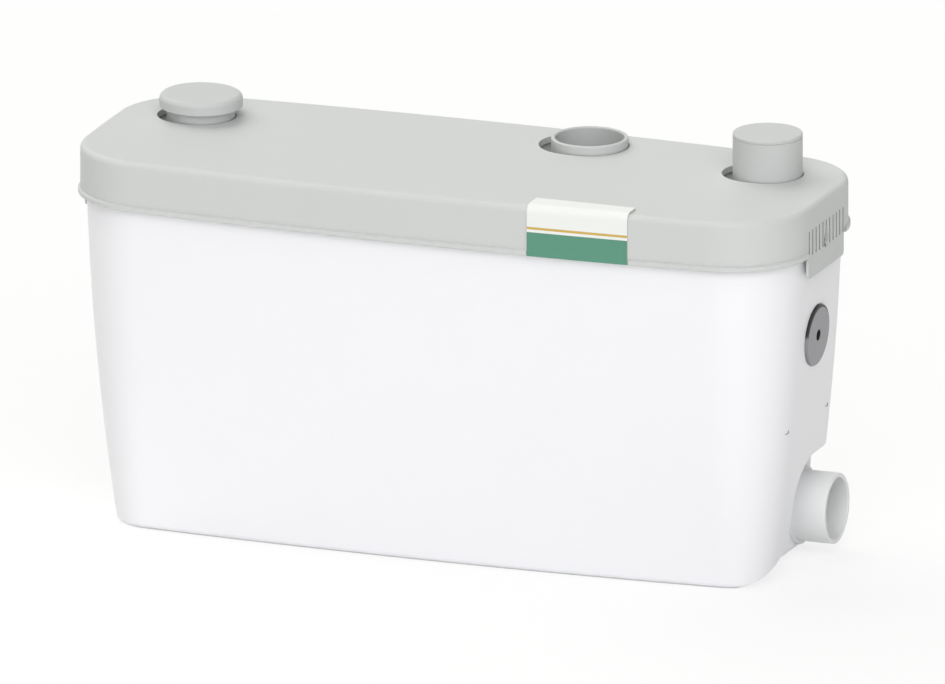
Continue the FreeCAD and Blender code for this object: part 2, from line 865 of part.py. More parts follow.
def vent_cap():
    """Mushroom head with a slotted plug that goes down the neck."""
    low = hood_top_z + cap_low_h
    top = hood_top_z + cap_top_h
    neck_top = hood_top_z + vent_neck_h
    head = disc(vent_x, vent_y, cap_r, low, top)
    head = head.makeFillet(cap_edge_r, circles_at(head, vent_x, vent_y, cap_r, top))
    head = head.cut(disc(vent_x, vent_y, cap_r - cap_wall, low - 1, top - cap_wall))
    stem_r = vent_bore_r - fit_gap
    stem = ring(vent_x, vent_y, stem_r, stem_r - cap_plug_t, neck_top - cap_plug_len, top - cap_wall / 2)
    for i in range(cap_slot_count):
        window = box(0, cap_r, -cap_slot_w / 2, cap_slot_w / 2, neck_top - cap_plug_len - 1, top - cap_wall)
        window.rotate(V(0, 0, 0), Z_AXIS, 360.0 * i / cap_slot_count)
        window.translate(V(vent_x, vent_y, 0))
        stem = stem.cut(window)
    spacers = []
    for i in range(cap_slot_count):
        foot = box(stem_r - cap_plug_t, vent_r, -cap_foot_t / 2, cap_foot_t / 2, neck_top, top - cap_wall / 2)
        foot.rotate(V(0, 0, 0), Z_AXIS, 360.0 * (i + 0.5) / cap_slot_count)
        foot.translate(V(vent_x, vent_y, 0))
        spacers.append(foot)
    return join([head, stem] + spacers)


def discharge_collar():
    top = hood_top_z + collar_h
    floor = top - collar_depth - collar_floor_t
    body = socket_tube(collar_x, collar_y, collar_r, collar_way_r, floor, top)
    seat = floor + collar_floor_t
    body = body.cut(disc(collar_x, collar_y, collar_seat_r, seat, top))
    body = body.cut(disc(collar_x, collar_y, collar_bore_r, seat + collar_seal_h, top + 1))
    rims = circles_at(body, collar_x, collar_y, collar_r, top)
    rims += circles_at(body, collar_x, collar_y, collar_bore_r, top)
    return body.makeFillet(collar_rim_r, rims)


def collar_low_z():
    return hood_top_z + collar_h - collar_depth - collar_floor_t


def collar_seal():
    """Lip seal on the collar's floor."""
    z0 = collar_low_z() + collar_floor_t
    inner = collar_seat_r - collar_seal_t
    base = V(collar_x, collar_y, z0)
    body = ring(collar_x, collar_y, collar_seat_r - running_gap, inner, z0, z0 + collar_seal_h)
    root = inner + collar_seal_t / 2
    lip = Part.makeCone(root, root - seal_lip_reach, collar_seal_h / 2, base, Z_AXIS)
    inner = root - seal_lip_t
    core = Part.makeCone(inner, inner - seal_lip_reach, collar_seal_h / 2, base, Z_AXIS)
    return body.fuse(lip.cut(core)).removeSplitter()


def plug_low_z():
    return hood_top_z + plug_top_h - plug_disc_t


def top_inlet():
    body = socket_tube(inlet_x, inlet_y, inlet_r, inlet_bore_r, lid_z - inlet_tail, plug_low_z())
    rims = circles_at(body, inlet_x, inlet_y, inlet_r, plug_low_z())
    return body.makeChamfer(seam_chamfer, rims)


def inlet_plug():
    low = plug_low_z()
    top = hood_top_z + plug_top_h
    head = disc(inlet_x, inlet_y, inlet_r, low, top)
    head = head.makeFillet(plug_edge_r, circles_at(head, inlet_x, inlet_y, inlet_r, top))
    head = head.makeChamfer(seam_chamfer, circles_at(head, inlet_x, inlet_y, inlet_r, low))
    skirt_r = inlet_bore_r - fit_gap
    skirt = disc(inlet_x, inlet_y, skirt_r, low - plug_len, low)
    body = head.fuse(skirt)
    body = body.cut(disc(inlet_x, inlet_y, skirt_r - plug_skirt_t, low - plug_len - 1, low))
    groove_z = low - plug_len + plug_seal_place
    groove_top = groove_z + plug_seal_h
    body = body.cut(ring(inlet_x, inlet_y, skirt_r + 1, skirt_r - plug_seal_t, groove_z, groove_top))
    return body.removeSplitter()


def plug_seal():
    z0 = plug_low_z() - plug_len + plug_seal_place
    inner = inlet_bore_r - fit_gap - plug_seal_t
    return ring(inlet_x, inlet_y, inlet_bore_r - running_gap, inner, z0, z0 + plug_seal_h)


def side_inlet():
    """Spigot with a seating flange, pushed into the boss of the tank wall."""
    start = recess_x - side_tail
    body = rod(start, side_rim_x, side_y, side_z, side_r)
    rim = [e for e in body.Edges if abs(e.BoundBox.XMin - side_rim_x) < near]
    body = body.makeFillet(side_rim_round, rim)
    body = body.fuse(rod(recess_x, recess_x + side_flange_t, side_y, side_z, side_flange_r))
    body = body.cut(rod(start - 1, side_rim_x + 1, side_y, side_z, side_bore_r)).removeSplitter()
    mouth = []
    for e in body.Edges:
        at_rim = abs(e.BoundBox.XMin - side_rim_x) < near
        if at_rim and isinstance(e.Curve, Part.Circle) and abs(e.Curve.Radius - side_bore_r) < near:
            mouth.append(e)
    body = body.makeChamfer(side_mouth_chamfer, mouth)
    x0 = recess_x - side_seal_place
    return body.cut(tube_x(x0, x0 + side_seal_w, side_y, side_z, side_r + 1, side_r - side_seal_t))


def side_seal():
    """Ring seal between spigot and boss."""
    x0 = recess_x - side_seal_place
    r = side_r + fit_gap - running_gap
    return tube_x(x0, x0 + side_seal_w, side_y, side_z, r, side_r - side_seal_t)


def cable_grommet():
    """Rubber grommet through the end wall, with a hole for the mains lead."""
    face_t = grommet_proud + grommet_seat_depth
    face = Part.makeCylinder(grommet_r, face_t, V(-grommet_seat_depth, 0, 0), X_AXIS)
    outer = [e for e in face.Edges if abs(e.BoundBox.XMin - grommet_proud) < near]
    face = face.makeFillet(grommet_edge_r, outer)
    depth = tank_wall + grommet_slack
    neck = Part.makeCylinder(grommet_neck_r, depth, V(-depth, 0, 0), X_AXIS)
    lip = Part.makeCylinder(grommet_lip_r, grommet_lip_t, V(-depth - grommet_lip_t, 0, 0), X_AXIS)
    hole = Part.makeCylinder(grommet_hole_r, 2 * past_skin, V(-past_skin, 0, 0), X_AXIS)
    return at_grommet(join([face, neck, lip]).cut(hole))


def foot_angle(i):
    return math.radians(90 + 360.0 * i / foot_count)


def strainer_low_z():
    return tank_floor + foot_h


def casing_low_z():
    return strainer_low_z() + strainer_h


def motor_low_z():
    return casing_low_z() + casing_t + chamber_h


def pump_feet():
    feet = []
    for i in range(foot_count):
        x = pump_x + foot_ring_r * math.cos(foot_angle(i))
        y = pump_y + foot_ring_r * math.sin(foot_angle(i))
        feet.append(disc(x, y, foot_r, tank_floor, strainer_low_z()))
    return Part.makeCompound(feet)


def suction_strainer():
    z0 = strainer_low_z()
    z1 = casing_low_z()
    body = disc(pump_x, pump_y, strainer_r, z0, z1)
    body = body.cut(disc(pump_x, pump_y, strainer_r - strainer_t, z0 + strainer_t, z1 + 1))
    for i in range(strainer_slots):
        gap = box(strainer_r - 2 * strainer_t, strainer_r + 1, -strainer_slot_w / 2, strainer_slot_w / 2,
                  z0 + strainer_t, z1 - strainer_t)
        gap.rotate(V(0, 0, 0), Z_AXIS, 360.0 * i / strainer_slots)
        gap.translate(V(pump_x, pump_y, 0))
        body = body.cut(gap)
    return body


def volute_wire(grow, z):
    """Spiral outline of four tangent quarter turns, closed by a step at the tongue."""
    r1, r2, r3, r4 = [volute_first_r + i * volute_step for i in range(4)]
    start = V(0, volute_start_r, 0)
    c1 = V(0, start.y - r1, 0)
    c2 = V(r1 - r2, c1.y, 0)
    c3 = V(c2.x, c2.y - r2 + r3, 0)
    c4 = V(c3.x - r3 + r4, c3.y, 0)
    edges = []
    for centre, r, first in ((c1, r1, 90), (c2, r2, 0), (c3, r3, -90), (c4, r4, 180)):
        spread = [math.radians(first - 90 * t) for t in (0, 0.5, 1)]
        points = [polar(centre, r + grow, a, 0) for a in spread]
        edges.append(arc(*points))
    edges.append(Part.makeLine(edges[-1].Vertexes[-1].Point, edges[0].Vertexes[0].Point))
    wire = Part.Wire(edges)
    wire.translate(V(pump_x, pump_y, z))
    return wire


def nozzle_y():
    """Centre line of the pump's outlet, tangent to the widest part of the spiral."""
    return pump_y + volute_start_r + 4 * volute_step - nozzle_bore_r


def nozzle_z():
    return casing_low_z() + casing_t + chamber_h / 2


def ear_places():
    """Centres of the four screw ears between casing and motor."""
    return [(pump_x + sx * ear_place, pump_y + sy * ear_place) for sx in (-1, 1) for sy in (-1, 1)]


def flange(z0, z1):
    """Round flange with four screw ears, the same on casing and motor."""
    plate = disc(pump_x, pump_y, motor_r + casing_flange_extra, z0, z1)
    return join([plate] + [disc(x, y, ear_r, z0, z1) for x, y in ear_places()])


def drilled(body, z0, z1):
    """Cut the four screw holes of the flange."""
    for x, y in ear_places():
        body = body.cut(disc(x, y, casing_screw_r + fit_gap, z0 - 1, z1 + 1))
    return body


def volute_block(grow, z0, z1):
    return Part.Face(volute_wire(grow, z0)).extrude(V(0, 0, z1 - z0))


def pump_casing():
    z0 = casing_low_z()
    z1 = motor_low_z()
    outer = volute_block(casing_t, z0, z1).fuse(flange(z1 - casing_flange_t, z1))
    spout = rod(pump_x, pump_x + nozzle_end_x, nozzle_y(), nozzle_z(), nozzle_bore_r + casing_t)
    body = outer.fuse(spout)
    body = body.cut(volute_block(0.0, z0 + casing_t, z1 + past_skin))
    body = body.cut(rod(pump_x, pump_x + nozzle_end_x + 1, nozzle_y(), nozzle_z(), nozzle_bore_r))
    reach = motor_r + nozzle_end_x
    spout_top = nozzle_z() + nozzle_bore_r + casing_t + 1
    body = body.cut(box(pump_x - reach, pump_x + reach, pump_y - reach, pump_y + reach, z1, spout_top))
    body = body.cut(disc(pump_x, pump_y, suction_r, z0 - 1, z1))
    return drilled(body, z0, z1).removeSplitter()


def casing_screws():
    z0 = motor_low_z() - casing_flange_t
    z1 = motor_low_z() + casing_flange_t
    solids = []
    for x, y in ear_places():
        shank = disc(x, y, casing_screw_r, z0, z1)
        head = disc(x, y, casing_screw_head_r, z1, z1 + casing_screw_head_h)
        solids.append(shank.fuse(head).removeSplitter())
    return Part.makeCompound(solids)


def impeller_low_z():
    return casing_low_z() + casing_t + impeller_gap


def vane(turn):
    """One backward-curved vane, as a plan face between two arcs."""
    middle = ((hub_r + impeller_r) / 2, vane_turn * vane_mid_part)
    stations = ((hub_r + vane_root, 0.0), middle, (impeller_r - vane_tip, vane_turn))

    def row(side):
        points = []
        for r, angle in stations:
            shift = side * vane_t / (2 * r)
            points.append(polar(V(0, 0, 0), r, math.radians(angle + turn) + shift))
        return points

    a = row(-1)
    b = row(1)
    edges = [arc(*a), Part.makeLine(a[2], b[2]), arc(b[2], b[1], b[0]), Part.makeLine(b[0], a[0])]
    z0 = impeller_low_z()
    solid = Part.Face(Part.Wire(edges)).extrude(V(0, 0, vane_h + 1))
    solid.translate(V(pump_x, pump_y, z0))
    return solid


def impeller():
    z0 = impeller_low_z()
    disc_z = z0 + vane_h
    body = [disc(pump_x, pump_y, impeller_r, disc_z, disc_z + impeller_disc_t)]
    body.append(disc(pump_x, pump_y, hub_r, z0 + hub_lift, disc_z))
    body += [vane(360.0 * i / vane_count) for i in range(vane_count)]
    solid = join(body)
    return solid.cut(disc(pump_x, pump_y, bearing_bore_r, z0 - 1, disc_z + impeller_disc_t + 1))


def impeller_nut():
    z1 = impeller_low_z() + hub_lift
    turn = 2 * math.pi / nut_sides
    points = [polar(V(pump_x, pump_y, 0), nut_r, turn * i, z1 - nut_t) for i in range(nut_sides + 1)]
    hexagon = Part.Face(Part.makePolygon(points)).extrude(V(0, 0, nut_t))
    return hexagon.cut(disc(pump_x, pump_y, bearing_bore_r, z1 - nut_t - 1, z1 + 1))


def lower_bearing_z():
    return motor_low_z() + motor_base_t + bearing_lift


def motor_top_z():
    return motor_low_z() + motor_h


def upper_bearing_z():
    return motor_top_z() - cover_spigot_h - bearing_lift


def motor_housing():
    z0 = motor_low_z()
    z1 = motor_top_z()
    cap = volute_block(casing_t, z0, z0 + casing_flange_t)
    body = join([flange(z0, z0 + casing_flange_t), cap, disc(pump_x, pump_y, motor_r, z0, z1)])
    boss = disc(pump_x, pump_y, bearing_boss_r, z0 + motor_base_t - 1, lower_bearing_z() + bearing_w)
    body = body.cut(disc(pump_x, pump_y, motor_r - motor_wall, z0 + motor_base_t, z1 + 1)).fuse(boss)
    body = body.cut(disc(pump_x, pump_y, shaft_seal_r + running_gap / 2, z0 - 1, lower_bearing_z()))
    body = body.cut(disc(pump_x, pump_y, bearing_r + running_gap / 2, lower_bearing_z(), z1))
    return drilled(body, z0, z0 + casing_flange_t).removeSplitter()


def motor_cover():
    """Top cover with the upper bearing's pocket."""
    z1 = motor_top_z()
    plate = disc(pump_x, pump_y, motor_r, z1, z1 + motor_cover_t)
    plate = plate.makeFillet(motor_cover_r, circles_at(plate, pump_x, pump_y, motor_r, z1 + motor_cover_t))
    spigot_r = motor_r - motor_wall - fit_gap
    spigot = ring(pump_x, pump_y, spigot_r, spigot_r - 2 * motor_seal_t, z1 - cover_spigot_h, z1)
    low, high = motor_seal_span()
    groove = ring(pump_x, pump_y, spigot_r + 1, spigot_r - motor_seal_t, low, high)
    boss = ring(pump_x, pump_y, bearing_boss_r, bearing_r + running_gap / 2, upper_bearing_z(), z1)
    return join([plate, spigot.cut(groove), boss])


def motor_seal_span():
    high = motor_top_z() - motor_seal_drop
    return high - motor_seal_w, high


def motor_seal():
    low, high = motor_seal_span()
    wall_r = motor_r - motor_wall
    return ring(pump_x, pump_y, wall_r - running_gap, wall_r - fit_gap - motor_seal_t, low, high)


def bearing(z0):
    """Ball bearing as inner race, outer race and shields in one closed ring, with its grooves."""
    body = ring(pump_x, pump_y, bearing_r, bearing_bore_r + running_gap, z0, z0 + bearing_w)
    for z in (z0 - bearing_groove, z0 + bearing_w - bearing_groove):
        top = z + 2 * bearing_groove
        body = body.cut(ring(pump_x, pump_y, bearing_r - bearing_race_t, bearing_shoulder_r, z, top))
    return body


def shaft_seal():
    z0 = motor_low_z() + shaft_seal_lift
    return ring(pump_x, pump_y, shaft_seal_r, bearing_bore_r + running_gap, z0, z0 + shaft_seal_h)


def rotor_low_z():
    return motor_low_z() + motor_base_t + rotor_lift


def motor_shaft():
    z0 = impeller_low_z() - shaft_tail
    z1 = upper_bearing_z() + bearing_w
    body = disc(pump_x, pump_y, bearing_bore_r, z0, z1)
    over = rotor_sleeve_over
    core = disc(pump_x, pump_y, rotor_sleeve_r, rotor_low_z() - over, rotor_low_z() + rotor_h + over)
    return body.fuse(core).removeSplitter()


def rotor_core():
    """Laminated rotor with end rings and balance bosses."""
    z0 = rotor_low_z()
    body = disc(pump_x, pump_y, rotor_r, z0, z0 + rotor_h)
    outer = rotor_r - end_ring_out
    for z in (z0 - end_ring_h, z0 + rotor_h):
        body = body.fuse(ring(pump_x, pump_y, outer, outer - end_ring_w, z, z + end_ring_h))
    bore = disc(pump_x, pump_y, rotor_sleeve_r, z0 - end_ring_h - 1, z0 + rotor_h + end_ring_h + 1)
    return body.cut(bore).removeSplitter()


def stator_span():
    z0 = rotor_low_z() - stator_extra
    return z0, z0 + rotor_h + 2 * stator_extra


def stator_core():
    z0, z1 = stator_span()
    r_in = rotor_r + air_gap
    body = ring(pump_x, pump_y, motor_r - motor_wall - running_gap, r_in, z0, z1)
    for i in range(stator_slots):
        half_w = stator_slot_w / 2
        groove = box(r_in - 1, r_in + stator_slot_depth, -half_w, half_w, z0 - 1, z1 + 1)
        groove.rotate(V(0, 0, 0), Z_AXIS, 360.0 * i / stator_slots)
        groove.translate(V(pump_x, pump_y, 0))
        body = body.cut(groove)
    return body


def stator_windings():
    """End turns above and below the core, joined by the coil sides in the slots."""
    z0, z1 = stator_span()
    r_in = rotor_r + air_gap
    parts = []
    for low in (z0 - winding_h, z1):
        outer = r_in + stator_slot_depth
        parts.append(ring(pump_x, pump_y, outer, r_in + winding_inset, low, low + winding_h))
    for i in range(stator_slots):
        half = stator_slot_w / 2 - slot_liner
        side = box(r_in + winding_inset + slot_liner, r_in + stator_slot_depth - slot_liner, -half, half,
                   z0 - 1, z1 + 1)
        side.rotate(V(0, 0, 0), Z_AXIS, 360.0 * i / stator_slots)
        side.translate(V(pump_x, pump_y, 0))
        parts.append(side)
    return join(parts)


def motor_buffer():
    """Rubber block between motor and lid."""
    return disc(pump_x, pump_y, buffer_r, motor_top_z() + motor_cover_t, well_under_z)


def riser_r():
    return nozzle_bore_r + casing_t


def valve_low_z():
    return collar_low_z() - valve_chamber_h - valve_seat_t - riser_socket


def riser_path():
    """Runs along the outlet, leans up under the collar and ends upright in the valve."""
    y0 = nozzle_y()
    start = V(pump_x + nozzle_end_x + riser_end_gap, y0, nozzle_z())
    turn = V(collar_x, y0, nozzle_z())
    knee = V(collar_x, collar_y, valve_low_z() - riser_knee_drop)
    end = V(collar_x, collar_y, valve_low_z() + riser_socket - riser_stop_gap)
    a0, first, a1 = bend(start, turn, knee, riser_bend_r)
    b0, second, b1 = bend(turn, knee, end, riser_bend_r * 2)
    edges = [Part.makeLine(start, a0), first, Part.makeLine(a1, b0), second, Part.makeLine(b1, end)]
    return Part.Wire(edges), start


def swept(path, start, r):
    """Round bar along a path that starts towards +X."""
    profile = Part.Wire([Part.makeCircle(r, start, X_AXIS)])
    return path.makePipeShell([profile], True, False)


def riser_pipe():
    path, start = riser_path()
    return swept(path, start, riser_r()).cut(swept(path, start, nozzle_bore_r))


def sleeve_mid():
    return pump_x + nozzle_end_x + riser_end_gap / 2 - sleeve_shift


def riser_sleeve():
    r = riser_r() + running_gap
    x = sleeve_mid()
    return tube_x(x - sleeve_len / 2, x + sleeve_len / 2, nozzle_y(), nozzle_z(), r + sleeve_t, r)


def sleeve_bands():
    """Two clamp bands round the sleeve, each with its screw lug."""
    r = riser_r() + running_gap + sleeve_t + running_gap
    x = sleeve_mid()
    solids = []
    for x0 in (x - sleeve_len / 2 + band_inset, x + sleeve_len / 2 - band_inset - band_w):
        hoop = tube_x(x0, x0 + band_w, nozzle_y(), nozzle_z(), r + band_t, r)
        top = nozzle_z() + r + band_t + lug_h
        lug_x = x0 + (band_w - lug_len) / 2
        lug_low = top - lug_h - lug_sink
        lug = box(lug_x, lug_x + lug_len, nozzle_y() - lug_w / 2, nozzle_y() + lug_w / 2, lug_low, top)
        solids.append(hoop.fuse(lug).removeSplitter())
    return Part.makeCompound(solids)


def flap_pin_y():
    return collar_y - valve_chamber_r + flap_eye_r + flap_wall_gap


def flap_pin_z():
    return valve_low_z() + riser_socket + valve_seat_t + flap_eye_r + flap_seat_gap


def valve_body():
    """Non-return valve: socket for the riser, seat, chamber for the flap, hinge ears."""
    z0 = valve_low_z()
    seat_z = z0 + riser_socket
    chamber_z = seat_z + valve_seat_t
    z1 = collar_low_z()
    body = disc(collar_x, collar_y, valve_r, z0, z1)
    body = body.cut(disc(collar_x, collar_y, riser_r() + running_gap, z0 - 1, seat_z))
    body = body.cut(disc(collar_x, collar_y, nozzle_bore_r, seat_z - 1, chamber_z + 1))
    body = body.cut(disc(collar_x, collar_y, valve_chamber_r, chamber_z, z1 + 1))
    inner = disc(collar_x, collar_y, valve_r - 0.5, chamber_z - 1, flap_pin_z() + flap_eye_r)
    for side in (-1, 1):
        near = side * (flap_eye_w / 2 + flap_ear_gap)
        far = near + side * ear_w
        ear = box(collar_x + min(near, far), collar_x + max(near, far), flap_pin_y() - flap_ear_back,
                  flap_pin_y() + flap_ear_front, chamber_z - 1, flap_pin_z() + flap_eye_r)
        body = body.fuse(ear.common(inner))
    hole = rod(collar_x - flap_pin_len / 2, collar_x + flap_pin_len / 2, flap_pin_y(), flap_pin_z(),
               flap_pin_r + flap_hole_gap)
    return body.cut(hole).removeSplitter()


def flap_pin():
    half = flap_pin_len / 2 - flap_pin_end
    return rod(collar_x - half, collar_x + half, flap_pin_y(), flap_pin_z(), flap_pin_r)


def valve_flap():
    """Round flap with its hinge eye."""
    seat_z = valve_low_z() + riser_socket + valve_seat_t
    plate = disc(collar_x, collar_y, flap_r, seat_z + fit_gap, seat_z + fit_gap + flap_t)
    notch_y = flap_pin_y() + flap_ear_front + flap_ear_gap
    for side in (-1, 1):
        x = collar_x + side * (flap_eye_w / 2 + flap_r)
        notch_end = collar_y - 2 * flap_r
        plate = plate.cut(box(x - flap_r, x + flap_r, notch_end, notch_y, seat_z, seat_z + 2 * flap_t))
    eye = rod(collar_x - flap_eye_w / 2, collar_x + flap_eye_w / 2, flap_pin_y(), flap_pin_z(), flap_eye_r)
    arm = box(collar_x - flap_eye_w / 2, collar_x + flap_eye_w / 2, flap_pin_y(), collar_y - flap_r / 2,
              seat_z + flap_arm_lift, seat_z + flap_arm_lift + flap_arm_t)
    body = join([plate, eye, arm])
    return body.cut(rod(collar_x - flap_eye_w, collar_x + flap_eye_w, flap_pin_y(), flap_pin_z(),
                        flap_pin_r + running_gap))


def air_bell():
    """Open tube whose trapped air works the level switch."""
    flange_z = well_under_z - bell_flange_t
    body = disc(bell_x, bell_y, bell_r, bell_mouth_z, flange_z)
    body = body.fuse(disc(bell_x, bell_y, bell_flange_r, flange_z, well_under_z))
    body = body.fuse(disc(bell_x, bell_y, barb_r, well_under_z, well_floor_z + barb_h))
    body = body.cut(disc(bell_x, bell_y, bell_r - bell_wall, bell_mouth_z - 1, flange_z + 1))
    barb_top = well_floor_z + barb_h + 1
    return body.cut(disc(bell_x, bell_y, barb_r / 2, bell_mouth_z, barb_top)).removeSplitter()


def level_switch():
    """Pressure switch on the bell's barb, with two blade terminals."""
    z0 = well_floor_z
    body = disc(bell_x, bell_y, switch_r, z0, z0 + switch_h)
    body = body.fuse(disc(bell_x, bell_y, switch_cap_r, z0 + switch_h, z0 + switch_h + switch_cap_h))
    for side in (-1, 1):
        x = bell_x + side * switch_cap_r / 2
        blade = box(x - blade_t / 2, x + blade_t / 2, bell_y - blade_w / 2, bell_y + blade_w / 2,
                    z0 + switch_h + switch_cap_h, z0 + switch_h + switch_cap_h + blade_h)
        body = body.fuse(blade)
    return body.cut(disc(bell_x, bell_y, barb_r + fit_gap, z0 - 1, z0 + barb_h + 1)).removeSplitter()


def terminal_box():
    z0 = well_floor_z
    body = rounded_box(box_x0, box_x1, box_y0, box_y1, z0, z0 + box_h, box_corner_r)
    hollow = rounded_box(box_x0 + box_wall, box_x1 - box_wall, box_y0 + box_wall, box_y1 - box_wall,
                         z0 + box_wall, z0 + box_h + 1, box_corner_r - box_wall / 2)
    return body.cut(hollow)


def terminal_cover():
    z0 = well_floor_z + box_h
    return rounded_box(box_x0, box_x1, box_y0, box_y1, z0, z0 + box_cover_t, box_corner_r)


def terminal_block():
    """Row of screw terminals on the box floor."""
    x = (box_x0 + box_x1) / 2
    y = (box_y0 + box_y1) / 2
    z0 = well_floor_z + box_wall
    body = box(x - block_len / 2, x + block_len / 2, y - block_w / 2, y + block_w / 2, z0, z0 + block_h)
    pitch = block_len / block_ways
    for i in range(block_ways):
        px = x - block_len / 2 + pitch * (i + 0.5)
        body = body.cut(disc(px, y, block_hole_r, z0 + block_h - block_hole_depth, z0 + block_h + 1))
    return body


def capacitor_z():
    return well_floor_z + capacitor_r + clip_t + running_gap


def capacitor():
    x0 = capacitor_x - capacitor_len / 2
    x1 = capacitor_x + capacitor_len / 2
    body = rod(x0, x1, capacitor_y, capacitor_z(), capacitor_r)
    ends = [e for e in body.Edges if e.BoundBox.XLength < near]
    return body.makeFillet(capacitor_edge_r, ends)


def capacitor_clip():
    """Strap clip with a foot each side."""
    x0 = capacitor_x - clip_w / 2
    x1 = capacitor_x + clip_w / 2
    r = capacitor_r + running_gap
    hoop = tube_x(x0, x1, capacitor_y, capacitor_z(), r + clip_t, r)
    foot_half = r + clip_foot
    low_y = capacitor_y - foot_half
    foot = box(x0, x1, low_y, low_y + 2 * foot_half, well_floor_z, well_floor_z + clip_t)
    foot = foot.cut(rod(x0 - 1, x1 + 1, capacitor_y, capacitor_z(), r))
    return hoop.fuse(foot).removeSplitter()


def well_gland():
    """Cable gland through the well wall."""
    x0 = well_x1
    x1 = well_x1 + well_wall
    thread = rod(x0 - gland_thread_out, x1, gland_y, gland_z, gland_r)
    nut = rod(x1, x1 + gland_nut_t, gland_y, gland_z, gland_nut_r)
    dome_base = V(x1 + gland_nut_t, gland_y, gland_z)
    dome = Part.makeCone(gland_nut_r - gland_dome_step, gland_r, gland_dome_len, dome_base, X_AXIS)
    body = join([thread, nut, dome])
    return body.cut(rod(x0 - past_skin, x1 + past_skin, gland_y, gland_z, gland_hole_r))


NODES = {
    "tank": tank,
    "hood": hood,
    "label_plate": label_plate,
    "inner_lid": inner_lid,
    "lid_gasket": lambda: rim_pad(rim_z, lid_under_z, screw_r + gasket_hole_gap),
    "lid_screws": lid_screws,
    "vent_neck": vent_neck,
    "carbon_filter": carbon_filter,
    "vent_cap": vent_cap,
    "discharge_collar": discharge_collar,
    "collar_seal": collar_seal,
    "top_inlet": top_inlet,
    "inlet_plug": inlet_plug,
    "plug_seal": plug_seal,
    "side_inlet": side_inlet,
    "side_seal": side_seal,
    "cable_grommet": cable_grommet,
    "pump_feet": pump_feet,
    "suction_strainer": suction_strainer,
    "pump_casing": pump_casing,
    "casing_screws": casing_screws,
    "impeller": impeller,
    "impeller_nut": impeller_nut,
    "shaft_seal": shaft_seal,
    "lower_bearing": lambda: bearing(lower_bearing_z()),
    "upper_bearing": lambda: bearing(upper_bearing_z()),
    "motor_shaft": motor_shaft,
    "rotor_core": rotor_core,
    "stator_core": stator_core,
    "stator_windings": stator_windings,
    "motor_housing": motor_housing,
    "motor_cover": motor_cover,
    "motor_seal": motor_seal,
    "motor_buffer": motor_buffer,
    "riser_pipe": riser_pipe,
    "riser_sleeve": riser_sleeve,
    "sleeve_bands": sleeve_bands,
    "valve_body": valve_body,
    "valve_flap": valve_flap,
    "flap_pin": flap_pin,
    "air_bell": air_bell,
    "level_switch": level_switch,
    "terminal_box": terminal_box,
    "terminal_cover": terminal_cover,
    "terminal_block": terminal_block,
    "capacitor": capacitor,
    "capacitor_clip": capacitor_clip,
    "well_gland": well_gland,
}


def main():
    os.makedirs("parts", exist_ok=True)
    for name, make in NODES.items():
        shape = make()
        if not shape.isValid():
            print("not valid:", name)
        if not all(s.isClosed() and s.Volume > 0 for s in shape.Solids) or not shape.Solids:
            print("not closed:", name)
        print(name, len(shape.Solids), round(shape.Volume / 1000, 2), "cm3")
        shape.exportStep("parts/" + name + ".step")


main()
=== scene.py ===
import json
import math

import bmesh
import bpy
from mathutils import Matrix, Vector


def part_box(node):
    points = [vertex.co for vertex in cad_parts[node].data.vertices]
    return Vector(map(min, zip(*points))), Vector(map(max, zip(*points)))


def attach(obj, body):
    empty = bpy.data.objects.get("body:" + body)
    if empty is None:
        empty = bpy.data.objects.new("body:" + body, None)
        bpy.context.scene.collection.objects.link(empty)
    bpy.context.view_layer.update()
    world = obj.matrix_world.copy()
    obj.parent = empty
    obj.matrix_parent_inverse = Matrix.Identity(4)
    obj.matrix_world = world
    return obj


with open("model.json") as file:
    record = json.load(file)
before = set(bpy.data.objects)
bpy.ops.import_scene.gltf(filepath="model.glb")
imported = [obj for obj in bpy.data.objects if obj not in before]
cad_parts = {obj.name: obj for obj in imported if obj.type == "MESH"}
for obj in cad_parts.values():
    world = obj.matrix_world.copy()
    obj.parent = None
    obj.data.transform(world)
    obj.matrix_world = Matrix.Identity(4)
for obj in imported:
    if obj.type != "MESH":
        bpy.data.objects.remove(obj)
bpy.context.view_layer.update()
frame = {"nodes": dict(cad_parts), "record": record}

MM = 0.001

# The photograph's view: a parallel camera, turned from the front and raised
photo_width = 945
photo_height = 684
photo_px_per_mm = 1.52
camera_turn = math.radians(20.6)
camera_rise = math.radians(16.0)
hood_centre_px = (464.3, 158.7)
hood_top = 257.5 * MM
camera_distance = 3.0

# Studio light
key_turn = math.radians(20.0)
key_rise = math.radians(20.0)
key_power = 1.235
key_spread = math.radians(60.0)
front_turn = math.radians(15.0)
front_rise = math.radians(50.0)
front_power = 1.115
front_spread = math.radians(60.0)
side_turn = math.radians(60.0)
side_rise = math.radians(40.0)
side_power = 0.56
side_spread = math.radians(90.0)
rear_turn = math.radians(-120.0)
rear_rise = math.radians(50.0)
rear_power = 1.897
rear_spread = math.radians(60.0)
rear_tint = (1.0, 1.0, 0.95)
sky_level = 0.0
floor_half = 9.0
floor_shade = 0.85
floor_shown = 0.98
floor_shadow_share = 0.22

# Printed label: green foot, thin ochre line, white head
label_low = 224.0 * MM
label_green_top = 240.6 * MM
label_line_low = 242.4 * MM
label_line_top = 244.2 * MM
label_soft = 0.1 * MM
# A face whose normal has more than this along x is a cut side of the plate
cut_side_normal = 0.7

# Share of its colour that a piece keeps in the depth of a crease, as painted shade
painted_crease_shade_tone = 0.15

# Polished band along the upper edge of the cable grommet's disc, painted dark as a reflection that fades out
# towards the bottom; the hole is painted dark as shade
band_inner_r = 19.6 * MM
band_shift_y = 0.8 * MM
band_shift_z = -1.3 * MM
band_low = 1.5 * MM
band_fade = 4.0 * MM
band_foot = 0.3
band_hole_r = 3.9 * MM
band_soft = 0.2 * MM
band_roughness = 0.15
grommet_specular = 0.12
